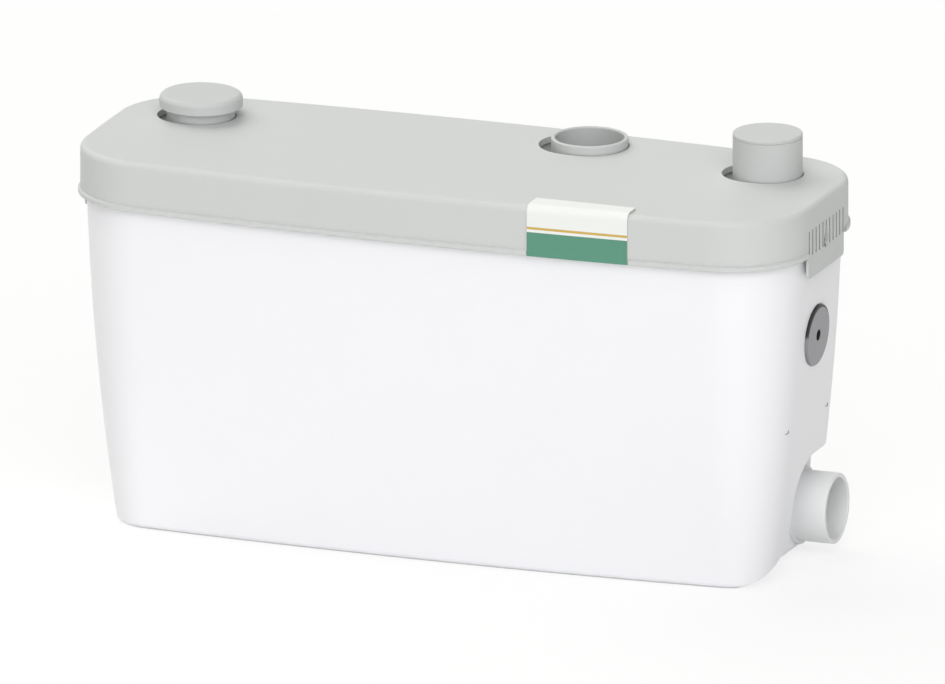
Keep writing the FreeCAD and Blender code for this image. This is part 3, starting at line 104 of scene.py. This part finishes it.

# Moulded tick marks on the right end wall; their dark grey finish is painted shade along them
tick_z = 104.0 * MM
tick_places = (-40.0 * MM, 32.0 * MM)
tick_arm = 3.4 * MM
tick_leg = 2.2 * MM
tick_width = 0.5 * MM
tick_proud = 0.35 * MM
tick_bevel = 0.1 * MM

# Surface texture; scales are in cells per metre
drift_scale = 14.0
# Lighter edges: patchy rubbing and a painted edge highlight
rub_and_highlight_contrast = 4.0
rub_and_highlight_patch_scale = 160.0
line_contrast = 0.25
sheet_seam_share = 0.2
granule_scale = 700.0


def lin(red, green, blue):
    """Linear colour from 8-bit screen values."""
    out = []
    for value in (red, green, blue):
        c = value / 255
        out.append(c / 12.92 if c <= 0.04045 else ((c + 0.055) / 1.055) ** 2.4)
    return (*out, 1.0)


# Node groups that several materials share


def new_group(name, inputs, outputs):
    """Empty node group with named sockets; inputs are (name, type, default)."""
    tree = bpy.data.node_groups.new(name, "ShaderNodeTree")
    for label, kind, default in inputs:
        socket = tree.interface.new_socket(label, in_out="INPUT", socket_type=kind)
        if default is not None:
            socket.default_value = default
    for label, kind in outputs:
        tree.interface.new_socket(label, in_out="OUTPUT", socket_type=kind)
    given = tree.nodes.new("NodeGroupInput")
    result = tree.nodes.new("NodeGroupOutput")
    return tree, given, result


def add(tree, kind, **values):
    """New node; values name either its settings or its inputs."""
    made = tree.nodes.new(kind)
    for key, value in values.items():
        if hasattr(made, key):
            setattr(made, key, value)
        else:
            made.inputs[key.replace("_", " ")].default_value = value
    return made


def math_node(tree, operation, first, second=None, clamp=False):
    made = tree.nodes.new("ShaderNodeMath")
    made.operation = operation
    made.use_clamp = clamp
    for socket, value in zip(made.inputs, (first, second)):
        if value is None:
            continue
        if isinstance(value, (int, float)):
            socket.default_value = value
        else:
            tree.links.new(value, socket)
    return made.outputs[0]


def mix_colour(tree, factor, first, second):
    """Colour mix; inputs 0, 6 and 7 of the node are its factor and two colours, output 2 the result."""
    made = tree.nodes.new("ShaderNodeMix")
    made.data_type = "RGBA"
    for index, value in ((0, factor), (6, first), (7, second)):
        if isinstance(value, bpy.types.NodeSocket):
            tree.links.new(value, made.inputs[index])
        else:
            made.inputs[index].default_value = value
    return made.outputs[2]


def noise(tree, vector, scale, detail=2.0, roughness=0.5):
    made = add(tree, "ShaderNodeTexNoise", Detail=detail, Roughness=roughness)
    tree.links.new(vector, made.inputs["Vector"])
    if isinstance(scale, (int, float)):
        made.inputs["Scale"].default_value = scale
    else:
        tree.links.new(scale, made.inputs["Scale"])
    return made.outputs["Fac"]


def moulded_grain_group():
    """Spark-eroded skin of moulded plastic, with a slow drift of shade and gloss."""
    tree, given, result = new_group(
        "moulded_grain",
        [
            ("Vector", "NodeSocketVector", None),
            ("Colour", "NodeSocketColor", (0.8, 0.8, 0.8, 1.0)),
            ("Shade Drift", "NodeSocketFloat", 0.02),
            ("Grains per Metre", "NodeSocketFloat", 2200.0),
            ("Gloss Drift", "NodeSocketFloat", 0.05),
            ("Roughness", "NodeSocketFloat", 0.45),
        ],
        [("Colour", "NodeSocketColor"), ("Roughness", "NodeSocketFloat"), ("Height", "NodeSocketFloat")],
    )
    vector = given.outputs["Vector"]
    slow = noise(tree, vector, drift_scale, 3.0)
    grain = noise(tree, vector, given.outputs["Grains per Metre"], 2.0, 0.6)
    centred = math_node(tree, "SUBTRACT", slow, 0.5)
    drift = math_node(tree, "MULTIPLY", centred, given.outputs["Shade Drift"])
    centred_grain = math_node(tree, "SUBTRACT", grain, 0.5)
    speck = math_node(tree, "MULTIPLY", centred_grain, given.outputs["Shade Drift"])
    gain = math_node(tree, "ADD", math_node(tree, "ADD", drift, speck), 1.0)
    scale = tree.nodes.new("ShaderNodeVectorMath")
    scale.operation = "SCALE"
    tree.links.new(given.outputs["Colour"], scale.inputs[0])
    tree.links.new(gain, scale.inputs["Scale"])
    tree.links.new(scale.outputs[0], result.inputs["Colour"])
    gloss = math_node(tree, "MULTIPLY", centred, given.outputs["Gloss Drift"])
    tree.links.new(math_node(tree, "ADD", gloss, given.outputs["Roughness"]), result.inputs["Roughness"])
    tree.links.new(grain, result.inputs["Height"])
    return tree


def edge_rub_and_highlight_group():
    """Mask of sharp edges, broken up by noise, for rubbed corners and a painted edge highlight."""
    tree, given, result = new_group(
        "edge_rub_and_highlight",
        [
            ("Vector", "NodeSocketVector", None),
            ("Width", "NodeSocketFloat", 0.0006),
            ("Amount", "NodeSocketFloat", 0.5),
        ],
        [("Mask", "NodeSocketFloat")],
    )
    bevel = add(tree, "ShaderNodeBevel", samples=4)
    tree.links.new(given.outputs["Width"], bevel.inputs["Radius"])
    surface = add(tree, "ShaderNodeNewGeometry")
    dot = tree.nodes.new("ShaderNodeVectorMath")
    dot.operation = "DOT_PRODUCT"
    tree.links.new(bevel.outputs[0], dot.inputs[0])
    tree.links.new(surface.outputs["Normal"], dot.inputs[1])
    away = math_node(tree, "SUBTRACT", 1.0, dot.outputs["Value"])
    sharp = math_node(tree, "MULTIPLY", away, rub_and_highlight_contrast, clamp=True)
    patchy = noise(tree, given.outputs["Vector"], rub_and_highlight_patch_scale, 3.0)
    broken = math_node(tree, "MULTIPLY", sharp, patchy)
    mask = math_node(tree, "MULTIPLY", broken, given.outputs["Amount"], clamp=True)
    tree.links.new(mask, result.inputs["Mask"])
    return tree


def drawn_metal_group():
    """Fine turning or brushing lines that run round or along an axis."""
    tree, given, result = new_group(
        "drawn_metal",
        [
            ("Vector", "NodeSocketVector", None),
            ("Stretch", "NodeSocketVector", (1.0, 1.0, 1.0)),
            ("Colour", "NodeSocketColor", (0.6, 0.6, 0.6, 1.0)),
            ("Roughness", "NodeSocketFloat", 0.3),
            ("Gloss Drift", "NodeSocketFloat", 0.15),
        ],
        [("Colour", "NodeSocketColor"), ("Roughness", "NodeSocketFloat"), ("Height", "NodeSocketFloat")],
    )
    stretch = tree.nodes.new("ShaderNodeVectorMath")
    stretch.operation = "MULTIPLY"
    tree.links.new(given.outputs["Vector"], stretch.inputs[0])
    tree.links.new(given.outputs["Stretch"], stretch.inputs[1])
    lines = noise(tree, stretch.outputs[0], 1.0, 3.0, 0.6)
    centred = math_node(tree, "SUBTRACT", lines, 0.5)
    gain = math_node(tree, "ADD", math_node(tree, "MULTIPLY", centred, line_contrast), 1.0)
    scale = tree.nodes.new("ShaderNodeVectorMath")
    scale.operation = "SCALE"
    tree.links.new(given.outputs["Colour"], scale.inputs[0])
    tree.links.new(gain, scale.inputs["Scale"])
    tree.links.new(scale.outputs[0], result.inputs["Colour"])
    gloss = math_node(tree, "MULTIPLY", centred, given.outputs["Gloss Drift"])
    tree.links.new(math_node(tree, "ADD", gloss, given.outputs["Roughness"]), result.inputs["Roughness"])
    tree.links.new(lines, result.inputs["Height"])
    return tree


def crease_shade_group(name, one_piece):
    """Mask of narrow creases, slots and inside corners, where shade is painted into the colour.

    It counts the creases of one piece alone, or those that the piece makes with its neighbours too.
    """
    tree, given, result = new_group(
        name,
        [
            ("Reach", "NodeSocketFloat", 0.003),
            ("Least", "NodeSocketFloat", 0.2),
            ("Amount", "NodeSocketFloat", 0.5),
        ],
        [("Mask", "NodeSocketFloat")],
    )
    opening = add(tree, "ShaderNodeAmbientOcclusion", samples=6, only_local=one_piece)
    tree.links.new(given.outputs["Reach"], opening.inputs["Distance"])
    closed = math_node(tree, "SUBTRACT", 1.0, opening.outputs["AO"])
    deep = math_node(tree, "SUBTRACT", closed, given.outputs["Least"], clamp=True)
    result_mask = math_node(tree, "MULTIPLY", deep, given.outputs["Amount"], clamp=True)
    tree.links.new(result_mask, result.inputs["Mask"])
    return tree


moulded_grain = moulded_grain_group()
edge_rub_and_highlight = edge_rub_and_highlight_group()
crease_shade = crease_shade_group("crease_shade", True)
seam_shade = crease_shade_group("seam_shade", False)
drawn_metal = drawn_metal_group()


# Materials


def start_material(name):
    made = bpy.data.materials.new(name)
    made.use_nodes = True
    tree = made.node_tree
    shader = tree.nodes["Principled BSDF"]
    place = tree.nodes.new("ShaderNodeTexCoord").outputs["Object"]
    return made, tree, shader, place


def use_group(tree, group, place, **values):
    made = tree.nodes.new("ShaderNodeGroup")
    made.node_tree = group
    if place:
        tree.links.new(place, made.inputs["Vector"])
    for key, value in values.items():
        made.inputs[key.replace("_", " ")].default_value = value
    return made


def bump(tree, height, shader, depth):
    made = tree.nodes.new("ShaderNodeBump")
    made.inputs["Strength"].default_value = 1.0
    made.inputs["Distance"].default_value = depth
    tree.links.new(height, made.inputs["Height"])
    tree.links.new(made.outputs[0], shader.inputs["Normal"])


def plastic(name, colour, roughness, grain, depth, drift=0.02, rub_and_highlight=0.25, rub_and_highlight_colour=None, shade=None):
    """Moulded plastic or rubber; grain is the number of grains per metre, depth their height.

    Shade names the group that finds creases for painted shade, their reach, the least depth that counts and
    the amount.
    """
    made, tree, shader, place = start_material(name)
    skin = use_group(tree, moulded_grain, place, Colour=colour, Roughness=roughness,
                     Shade_Drift=drift, Grains_per_Metre=grain)
    edge = use_group(tree, edge_rub_and_highlight, place, Amount=rub_and_highlight)
    # lighter edges: patchy rubbing and a painted edge highlight
    pale = rub_and_highlight_colour or tuple(min(1.0, c * 1.08 + 0.02) for c in colour[:3]) + (1.0,)
    worn_and_painted_light = mix_colour(tree, edge.outputs["Mask"], skin.outputs["Colour"], pale)
    # painted shade: creases and seams darkened in the colour
    if shade:
        group, reach, least, amount = shade
        painted_crease_shade = use_group(tree, group, None, Reach=reach, Least=least, Amount=amount)
        deep = tuple(c * painted_crease_shade_tone for c in colour[:3]) + (1.0,)
        worn_and_painted_light = mix_colour(tree, painted_crease_shade.outputs["Mask"], worn_and_painted_light, deep)
    tree.links.new(worn_and_painted_light, shader.inputs["Base Color"])
    tree.links.new(skin.outputs["Roughness"], shader.inputs["Roughness"])
    bump(tree, skin.outputs["Height"], shader, depth)
    return made


def metal(name, colour, roughness, stretch, depth):
    """Turned, drawn or ground metal."""
    made, tree, shader, place = start_material(name)
    skin = use_group(tree, drawn_metal, place, Colour=colour, Roughness=roughness, Stretch=stretch)
    tree.links.new(skin.outputs["Colour"], shader.inputs["Base Color"])
    tree.links.new(skin.outputs["Roughness"], shader.inputs["Roughness"])
    shader.inputs["Metallic"].default_value = 1.0
    bump(tree, skin.outputs["Height"], shader, depth)
    return made


def band_mask(tree, value, low, high, soft):
    """1 between low and high, with soft borders."""
    rise = math_node(tree, "DIVIDE", math_node(tree, "SUBTRACT", value, low), soft, clamp=True)
    fall = math_node(tree, "DIVIDE", math_node(tree, "SUBTRACT", high, value), soft, clamp=True)
    return math_node(tree, "MULTIPLY", rise, fall)


def disc_distance(tree, place, y, z):
    """Distance from an axis that runs along x."""
    offset = tree.nodes.new("ShaderNodeVectorMath")
    offset.operation = "SUBTRACT"
    tree.links.new(place, offset.inputs[0])
    offset.inputs[1].default_value = (0.0, y, z)
    flat = tree.nodes.new("ShaderNodeVectorMath")
    flat.operation = "MULTIPLY"
    tree.links.new(offset.outputs[0], flat.inputs[0])
    flat.inputs[1].default_value = (0.0, 1.0, 1.0)
    reach = tree.nodes.new("ShaderNodeVectorMath")
    reach.operation = "LENGTH"
    tree.links.new(flat.outputs[0], reach.inputs[0])
    return reach.outputs["Value"]


def label_print():
    """White plate with a green foot and a thin ochre line above it; its cut sides stay bare."""
    made, tree, shader, place = start_material("label_print")
    skin = use_group(tree, moulded_grain, place, Colour=lin(237, 239, 236), Roughness=0.35,
                     Shade_Drift=0.01, Grains_per_Metre=2600.0)
    split = tree.nodes.new("ShaderNodeSeparateXYZ")
    tree.links.new(place, split.inputs[0])
    height = split.outputs["Z"]
    green = band_mask(tree, height, label_low - MM, label_green_top, label_soft)
    ochre = band_mask(tree, height, label_line_low, label_line_top, label_soft)
    inked = mix_colour(tree, ochre, skin.outputs["Colour"], lin(205, 172, 84))
    inked = mix_colour(tree, green, inked, lin(86, 145, 122))
    facing = tree.nodes.new("ShaderNodeSeparateXYZ")
    normal = tree.nodes.new("ShaderNodeTexCoord").outputs["Normal"]
    tree.links.new(normal, facing.inputs[0])
    side = math_node(tree, "GREATER_THAN", math_node(tree, "ABSOLUTE", facing.outputs["X"]), cut_side_normal)
    bare = mix_colour(tree, side, inked, lin(206, 204, 194))
    tree.links.new(bare, shader.inputs["Base Color"])
    tree.links.new(skin.outputs["Roughness"], shader.inputs["Roughness"])
    bump(tree, skin.outputs["Height"], shader, 0.004 * MM)
    return made


def grommet_rubber():
    """Grey rubber disc with a polished band along its upper edge painted dark as a reflection, and its hole
    painted dark as shade.
    """
    made, tree, shader, place = start_material("grommet_rubber")
    skin = use_group(tree, moulded_grain, place, Colour=lin(166, 166, 169), Roughness=0.45,
                     Shade_Drift=0.06, Grains_per_Metre=1500.0)
    low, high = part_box("cable_grommet")
    middle = (low + high) / 2
    hole = disc_distance(tree, place, middle.y, middle.z)
    in_hole = math_node(tree, "LESS_THAN", hole, band_hole_r)
    face = disc_distance(tree, place, middle.y + band_shift_y, middle.z + band_shift_z)
    past_inner = math_node(tree, "SUBTRACT", face, band_inner_r)
    outside = math_node(tree, "DIVIDE", past_inner, band_soft, clamp=True)
    split = tree.nodes.new("ShaderNodeSeparateXYZ")
    tree.links.new(place, split.inputs[0])
    above = math_node(tree, "SUBTRACT", split.outputs["Z"], middle.z + band_low)
    faded = math_node(tree, "DIVIDE", above, band_fade, clamp=True)
    upper = math_node(tree, "ADD", faded, band_foot, clamp=True)
    # painted reflection on the upper rim and painted shade in the hole
    painted_dark = math_node(tree, "MAXIMUM", in_hole, math_node(tree, "MULTIPLY", outside, upper))
    tone = mix_colour(tree, painted_dark, skin.outputs["Colour"], lin(54, 54, 56))
    tree.links.new(tone, shader.inputs["Base Color"])
    shader.inputs["Specular IOR Level"].default_value = grommet_specular
    dull = math_node(tree, "MULTIPLY", math_node(tree, "SUBTRACT", 1.0, painted_dark), skin.outputs["Roughness"])
    polished = math_node(tree, "MULTIPLY", painted_dark, band_roughness)
    tree.links.new(math_node(tree, "ADD", dull, polished), shader.inputs["Roughness"])
    bump(tree, skin.outputs["Height"], shader, 0.02 * MM)
    return made


def stacked_sheet():
    """Edges of electrical sheet in a motor core, stacked along the shaft."""
    made, tree, shader, place = start_material("stacked_sheet")
    sheet_t = 0.5 * MM
    split = tree.nodes.new("ShaderNodeSeparateXYZ")
    tree.links.new(place, split.inputs[0])
    step = math_node(tree, "FRACT", math_node(tree, "DIVIDE", split.outputs["Z"], sheet_t))
    seam = math_node(tree, "LESS_THAN", step, sheet_seam_share)
    skin = use_group(tree, drawn_metal, place, Colour=lin(138, 138, 142), Roughness=0.45,
                     Stretch=(300.0, 300.0, 2000.0))
    stacked = mix_colour(tree, seam, skin.outputs["Colour"], lin(62, 60, 60))
    tree.links.new(stacked, shader.inputs["Base Color"])
    tree.links.new(skin.outputs["Roughness"], shader.inputs["Roughness"])
    shader.inputs["Metallic"].default_value = 0.9
    bump(tree, step, shader, 0.05 * MM)
    return made


def wound_copper():
    """Enamelled wire in bundles round the motor's axis."""
    made, tree, shader, place = start_material("wound_copper")
    wire_d = 0.7 * MM
    low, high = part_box("stator_windings")
    middle = (low + high) / 2
    offset = tree.nodes.new("ShaderNodeVectorMath")
    offset.operation = "SUBTRACT"
    tree.links.new(place, offset.inputs[0])
    offset.inputs[1].default_value = (middle.x, middle.y, 0.0)
    split = tree.nodes.new("ShaderNodeSeparateXYZ")
    tree.links.new(offset.outputs[0], split.inputs[0])
    waves = math_node(tree, "SINE", math_node(tree, "MULTIPLY", split.outputs["Z"], 2 * math.pi / wire_d))
    strand = math_node(tree, "ADD", math_node(tree, "MULTIPLY", waves, 0.5), 0.5)
    colour = mix_colour(tree, strand, lin(92, 42, 18), lin(196, 112, 58))
    tree.links.new(colour, shader.inputs["Base Color"])
    shader.inputs["Metallic"].default_value = 0.6
    shader.inputs["Roughness"].default_value = 0.32
    bump(tree, strand, shader, 0.2 * MM)
    return made


def pressed_carbon():
    """Black granules with a few glinting faces."""
    made, tree, shader, place = start_material("pressed_carbon")
    cells = add(tree, "ShaderNodeTexVoronoi", Scale=granule_scale)
    tree.links.new(place, cells.inputs["Vector"])
    shade = mix_colour(tree, cells.outputs["Distance"], lin(26, 26, 27), lin(64, 64, 66))
    tree.links.new(shade, shader.inputs["Base Color"])
    shader.inputs["Roughness"].default_value = 0.55
    bump(tree, cells.outputs["Distance"], shader, 0.5 * MM)
    return made


# The tank, hood and ports take painted shade in their creases and seams
finishes = {
    "tank_white": plastic("tank_plastic", lin(244, 244, 247), 0.32, 1400.0, 0.006 * MM, drift=0.008, rub_and_highlight=0.1,
                          shade=(seam_shade, 2.5 * MM, 0.3, 1.0)),
    "hood_grey": plastic("hood_plastic", lin(205, 207, 206), 0.5, 1800.0, 0.012 * MM, rub_and_highlight=0.08,
                         shade=(crease_shade, 14 * MM, 0.2, 1.5)),
    # The ports' grey is a darker copy of the hood's grey: painted shade
    "port_grey": plastic("port_plastic", lin(198, 200, 199), 0.46, 1800.0, 0.012 * MM, rub_and_highlight=0.15,
                         shade=(seam_shade, 3 * MM, 0.25, 0.9)),
    "lid_grey": plastic("lid_plastic", lin(112, 114, 114), 0.48, 1800.0, 0.012 * MM),
    "stub_white": plastic("stub_plastic", lin(235, 236, 236), 0.42, 1800.0, 0.008 * MM),
    "label_white": label_print(),
    "grommet_grey": grommet_rubber(),
    "seal_black": plastic("seal_rubber", lin(34, 34, 35), 0.6, 1200.0, 0.02 * MM, drift=0.1),
    "screw_steel": metal("turned_steel", lin(196, 196, 198), 0.28, (900.0, 900.0, 1500.0), 0.004 * MM),
    "bearing_steel": metal("ground_steel", lin(205, 205, 208), 0.16, (300.0, 300.0, 2500.0), 0.002 * MM),
    "pump_black": plastic("pump_plastic", lin(44, 44, 46), 0.5, 1500.0, 0.02 * MM, drift=0.12,
                          rub_and_highlight_colour=lin(84, 84, 86)),
    "lamination": stacked_sheet(),
    "winding_copper": wound_copper(),
    "filter_carbon": pressed_carbon(),
    "switch_white": plastic("switch_plastic", lin(232, 231, 222), 0.4, 1800.0, 0.008 * MM),
    "capacitor_grey": metal("capacitor_can", lin(186, 188, 190), 0.34, (60.0, 1400.0, 1400.0), 0.004 * MM),
    "clip_black": plastic("clip_nylon", lin(40, 40, 42), 0.42, 1500.0, 0.012 * MM, drift=0.08),
}


def dress_nodes():
    """Give each CAD node the finish of its record slot."""
    for entry in frame["record"]["subparts"]:
        node = frame["nodes"][entry["node"]]
        for place in node.material_slots:
            place.material = finishes[entry["material_slot"]]


# Pieces that the solids leave out


def new_piece(name, mesh_builder, material, body):
    """Mesh object from a bmesh, riding on a body."""
    mesh = bpy.data.meshes.new(name)
    mesh_builder.to_mesh(mesh)
    mesh_builder.free()
    made = bpy.data.objects.new(name, mesh)
    bpy.context.scene.collection.objects.link(made)
    mesh.materials.append(material)
    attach(made, body)
    return made


def end_wall_x(y, z):
    """Outermost x of the tank's skin near the given y and z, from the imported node."""
    tank = frame["nodes"]["tank"]
    found = tank.ray_cast(Vector((1.0, y, z)), Vector((-1.0, 0.0, 0.0)))
    return found[1].x


def tick_marks():
    """Two small raised angles on the right end wall."""
    for number, y in enumerate(tick_places):
        builder = bmesh.new()
        for low_y, high_y, low_z, high_z in (
            (y - tick_arm / 2, y + tick_arm / 2, tick_z, tick_z + tick_width),
            (y + tick_arm / 2 - tick_width, y + tick_arm / 2, tick_z, tick_z + tick_leg),
        ):
            made = bmesh.ops.create_cube(builder, size=1.0)["verts"]
            for vert in made:
                vy = low_y if vert.co.y < 0 else high_y
                vz = low_z if vert.co.z < 0 else high_z
                outward = tick_proud if vert.co.x > 0 else -tick_proud
                vert.co = Vector((end_wall_x(vy, vz) + outward, vy, vz))
        bmesh.ops.bevel(builder, geom=builder.edges, offset=tick_bevel, segments=2, affect="EDGES")
        # dark grey finish: painted shade along the marks
        new_piece(f"tick_mark_{number + 1}", builder, finishes["lid_grey"], "station")


def camera():
    """Parallel camera that frames the object as the photograph does."""
    data = bpy.data.cameras.new("camera")
    data.type = "ORTHO"
    data.ortho_scale = photo_width / photo_px_per_mm * MM
    made = bpy.data.objects.new("camera", data)
    bpy.context.scene.collection.objects.link(made)
    turn, rise = camera_turn, camera_rise
    right = Vector((math.cos(turn), math.sin(turn), 0.0))
    up = Vector((-math.sin(turn) * math.sin(rise), math.cos(turn) * math.sin(rise), math.cos(rise)))
    back = right.cross(up)
    px_to_m = MM / photo_px_per_mm
    right_shift = (photo_width / 2 - hood_centre_px[0]) * px_to_m
    down_shift = (photo_height / 2 - hood_centre_px[1]) * px_to_m
    aim = Vector((0.0, 0.0, hood_top)) + right * right_shift - up * down_shift
    made.location = aim + back * camera_distance
    made.rotation_euler = back.to_track_quat("Z", "Y").to_euler()
    bpy.context.scene.camera = made


def sun(name, turn, rise, power, spread, tint=(1.0, 1.0, 1.0)):
    """Broad distant lamp; turn is measured from the front towards the right."""
    data = bpy.data.lights.new(name, "SUN")
    data.energy = power
    data.angle = spread
    data.color = tint
    made = bpy.data.objects.new(name, data)
    bpy.context.scene.collection.objects.link(made)
    towards = Vector((math.sin(turn) * math.cos(rise), -math.cos(turn) * math.cos(rise), math.sin(rise)))
    made.rotation_euler = towards.to_track_quat("Z", "Y").to_euler()
    made.visible_glossy = False


def seen_directly(tree):
    """1 for camera, mirror and glass rays, 0 for light that scatters."""
    path = tree.nodes.new("ShaderNodeLightPath")
    direct = math_node(tree, "MAXIMUM", path.outputs["Is Camera Ray"], path.outputs["Is Glossy Ray"])
    return math_node(tree, "MAXIMUM", direct, path.outputs["Is Transmission Ray"])


def sky():
    """White surround as the camera sees it; sky_level is how strongly it lights the object."""
    world = bpy.data.worlds.new("studio")
    bpy.context.scene.world = world
    world.use_nodes = True
    tree = world.node_tree
    plain = tree.nodes["Background"]
    plain.inputs["Color"].default_value = (1.0, 1.0, 1.0, 1.0)
    plain.inputs["Strength"].default_value = sky_level
    shown = tree.nodes.new("ShaderNodeBackground")
    shown.inputs["Color"].default_value = (1.0, 1.0, 1.0, 1.0)
    mix = tree.nodes.new("ShaderNodeMixShader")
    tree.links.new(seen_directly(tree), mix.inputs[0])
    tree.links.new(plain.outputs[0], mix.inputs[1])
    tree.links.new(shown.outputs[0], mix.inputs[2])
    tree.links.new(mix.outputs[0], tree.nodes["World Output"].inputs["Surface"])


def floor():
    """Pale floor that shows white and keeps a share of the object's shadow."""
    builder = bmesh.new()
    bmesh.ops.create_grid(builder, x_segments=1, y_segments=1, size=floor_half)
    mesh = bpy.data.meshes.new("floor")
    builder.to_mesh(mesh)
    builder.free()
    made = bpy.data.objects.new("floor", mesh)
    bpy.context.scene.collection.objects.link(made)
    material = bpy.data.materials.new("floor_paint")
    material.use_nodes = True
    tree = material.node_tree
    tree.nodes.remove(tree.nodes["Principled BSDF"])
    bounce = tree.nodes.new("ShaderNodeBsdfDiffuse")
    bounce.inputs["Color"].default_value = (floor_shade, floor_shade, floor_shade, 1.0)
    lit = tree.nodes.new("ShaderNodeBsdfDiffuse")
    lit.inputs["Color"].default_value = (floor_shown, floor_shown, floor_shown, 1.0)
    glow = tree.nodes.new("ShaderNodeEmission")
    glow.inputs["Color"].default_value = (1.0, 1.0, 1.0, 1.0)
    shown = tree.nodes.new("ShaderNodeMixShader")
    shown.inputs[0].default_value = floor_shadow_share
    tree.links.new(glow.outputs[0], shown.inputs[1])
    tree.links.new(lit.outputs[0], shown.inputs[2])
    mix = tree.nodes.new("ShaderNodeMixShader")
    tree.links.new(seen_directly(tree), mix.inputs[0])
    tree.links.new(bounce.outputs[0], mix.inputs[1])
    tree.links.new(shown.outputs[0], mix.inputs[2])
    tree.links.new(mix.outputs[0], tree.nodes["Material Output"].inputs["Surface"])
    mesh.materials.append(material)


dress_nodes()
tick_marks()
camera()
sun("key", key_turn, key_rise, key_power, key_spread)
sun("front", front_turn, front_rise, front_power, front_spread)
sun("rear", rear_turn, rear_rise, rear_power, rear_spread, rear_tint)
sun("side", side_turn, side_rise, side_power, side_spread)
sky()
floor()
bpy.context.scene.view_settings.view_transform = "Standard"
